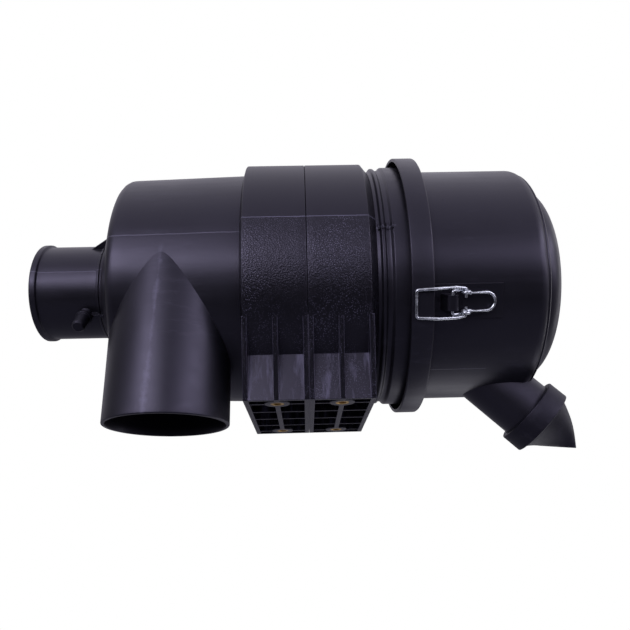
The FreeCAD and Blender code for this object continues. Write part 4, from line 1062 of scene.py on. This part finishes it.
in_front = add(sky, MAP_RANGE, [BEHIND, -0.35, 0.05, 1.0, 0.0])
above_foot = add(sky, MAP_RANGE, [HEIGHT, -0.04, 0.06, 0.0, 1.0])
below_top = add(sky, MAP_RANGE, [HEIGHT, 0.14, 0.27, 1.0, 0.0])
band = add(sky, MATH, [above_foot, below_top], operation="MULTIPLY")
rising = add(sky, MAP_RANGE, [ACROSS, -0.62, -0.48, 0.1, 2.0])
falling = add(sky, MAP_RANGE, [ACROSS, -0.45, 0.0, 2.0, 0.26])
far_right = add(sky, MAP_RANGE, [ACROSS, 0.20, 0.42, 0.2, 0.9])
spread = add(sky, MATH, [rising, falling], operation="MINIMUM")
spread = add(sky, MATH, [spread, far_right], operation="MAXIMUM")
band_light = add(sky, MATH, [band, spread], operation="MULTIPLY")
front = add(sky, MATH, [band_light, 2.9], operation="MULTIPLY")


def upright_box(middle, half_width, slope, strength):
    """A narrow upright softbox in front, leaning across as it rises."""
    lean = add(sky, MATH, [HEIGHT, slope], operation="MULTIPLY")
    leaning = add(sky, MATH, [ACROSS, lean], operation="SUBTRACT")
    off_middle = add(sky, MATH, [leaning, middle], operation="SUBTRACT")
    away = add(sky, MATH, [off_middle], operation="ABSOLUTE")
    over_sill = add(sky, MAP_RANGE, [HEIGHT, 0.02, 0.14, 0.0, 1.0])
    under_head = add(sky, MAP_RANGE, [HEIGHT, 0.40, 0.50, 1.0, 0.0])
    tall = add(sky, MATH, [over_sill, under_head], operation="MULTIPLY")
    within = add(sky, MAP_RANGE, [away, half_width, half_width + 0.10, strength, 0.0])
    return add(sky, MATH, [tall, within], operation="MULTIPLY")


left_box = upright_box(-0.92, 0.08, 1.4, 5.2)
right_box = upright_box(0.43, 0.07, 1.2, 5.0)
boxes = add(sky, MATH, [left_box, right_box], operation="MAXIMUM")
front = add(sky, MATH, [front, boxes], operation="MAXIMUM")
front = add(sky, MATH, [front, in_front], operation="MULTIPLY")
ceiling = add(sky, MAP_RANGE, [HEIGHT, 0.15, 0.95, 0.30, 0.85])
above_level = add(sky, MAP_RANGE, [HEIGHT, -0.12, 0.10, 0.0, 1.0])
far_left = add(sky, MAP_RANGE, [ACROSS, -0.95, -0.75, 0.5, 1.0])
above = add(sky, MATH, [ceiling, above_level], operation="MULTIPLY")
above = add(sky, MATH, [above, far_left], operation="MULTIPLY")
back_wall = add(sky, MAP_RANGE, [BEHIND, -0.7, 0.3, 0.03, 0.22])
below_level = add(sky, MAP_RANGE, [HEIGHT, -0.05, 0.08, 1.0, 0.0])
under = add(sky, MATH, [back_wall, below_level], operation="MULTIPLY")
strength = add(sky, MATH, [front, above], operation="ADD")
strength = add(sky, MATH, [strength, under], operation="ADD")
glow = add(sky, "ShaderNodeBackground", {"Color": (1.0, 0.965, 1.1, 1.0), "Strength": strength})
paper_white = add(sky, "ShaderNodeBackground", {"Color": (1.0, 1.0, 1.0, 1.0), "Strength": 1.0})
seen = add(sky, "ShaderNodeLightPath").outputs["Is Camera Ray"]
both = add(sky, "ShaderNodeMixShader", [seen, glow, paper_white])
add(sky, "ShaderNodeOutputWorld", {"Surface": both})


def softbox(name, spot, aim, size_x, size_y, power):
    """An area light at a spot, turned to its aim."""
    light = bpy.data.lights.new(name, "AREA")
    light.shape = "RECTANGLE"
    light.size, light.size_y, light.energy = size_x, size_y, power
    lamp = bpy.data.objects.new(name, light)
    lamp.location = spot
    lamp.rotation_euler = (Vector(aim) - Vector(spot)).to_track_quat("-Z", "Y").to_euler()
    lamp.visible_camera = False
    scene.collection.objects.link(lamp)
    return lamp


MIDDLE = (-0.02, 0.0, 0.12)
softbox("front_band", (-0.7, -1.8, 0.30), MIDDLE, 1.2, 0.22, 4.0)
softbox("right_edge", (1.4, 0.5, 0.3), MIDDLE, 0.25, 1.2, 1.2)
softbox("low_back", (0.5, 0.5, -0.6), MIDDLE, 0.9, 0.7, 1.5)

camera_data = bpy.data.cameras.new("camera")
camera_data.sensor_width = 36.0
camera_data.lens = 34.61
camera_data.clip_start = 0.01
camera = bpy.data.objects.new("camera", camera_data)
scene.collection.objects.link(camera)
RISE, YAW, ROLL = math.radians(20.97), math.radians(1.17), math.radians(-1.2)
level_way = Vector((0, math.cos(RISE), math.sin(RISE)))
level_up = Vector((0, -math.sin(RISE), math.cos(RISE)))
view_way = level_way * math.cos(YAW) + Vector((1, 0, 0)) * math.sin(YAW)
level_right = Vector((1, 0, 0)) * math.cos(YAW) - level_way * math.sin(YAW)
right = level_right * math.cos(ROLL) + level_up * math.sin(ROLL)
up = level_up * math.cos(ROLL) - level_right * math.sin(ROLL)
frame_of_view = Matrix((right, up, -view_way)).transposed().to_4x4()
camera.matrix_world = Matrix.Translation((-0.00428, -0.54558, -0.10911)) @ frame_of_view
scene.camera = camera
scene.view_settings.view_transform = "Standard"
scene.view_settings.look = "None"
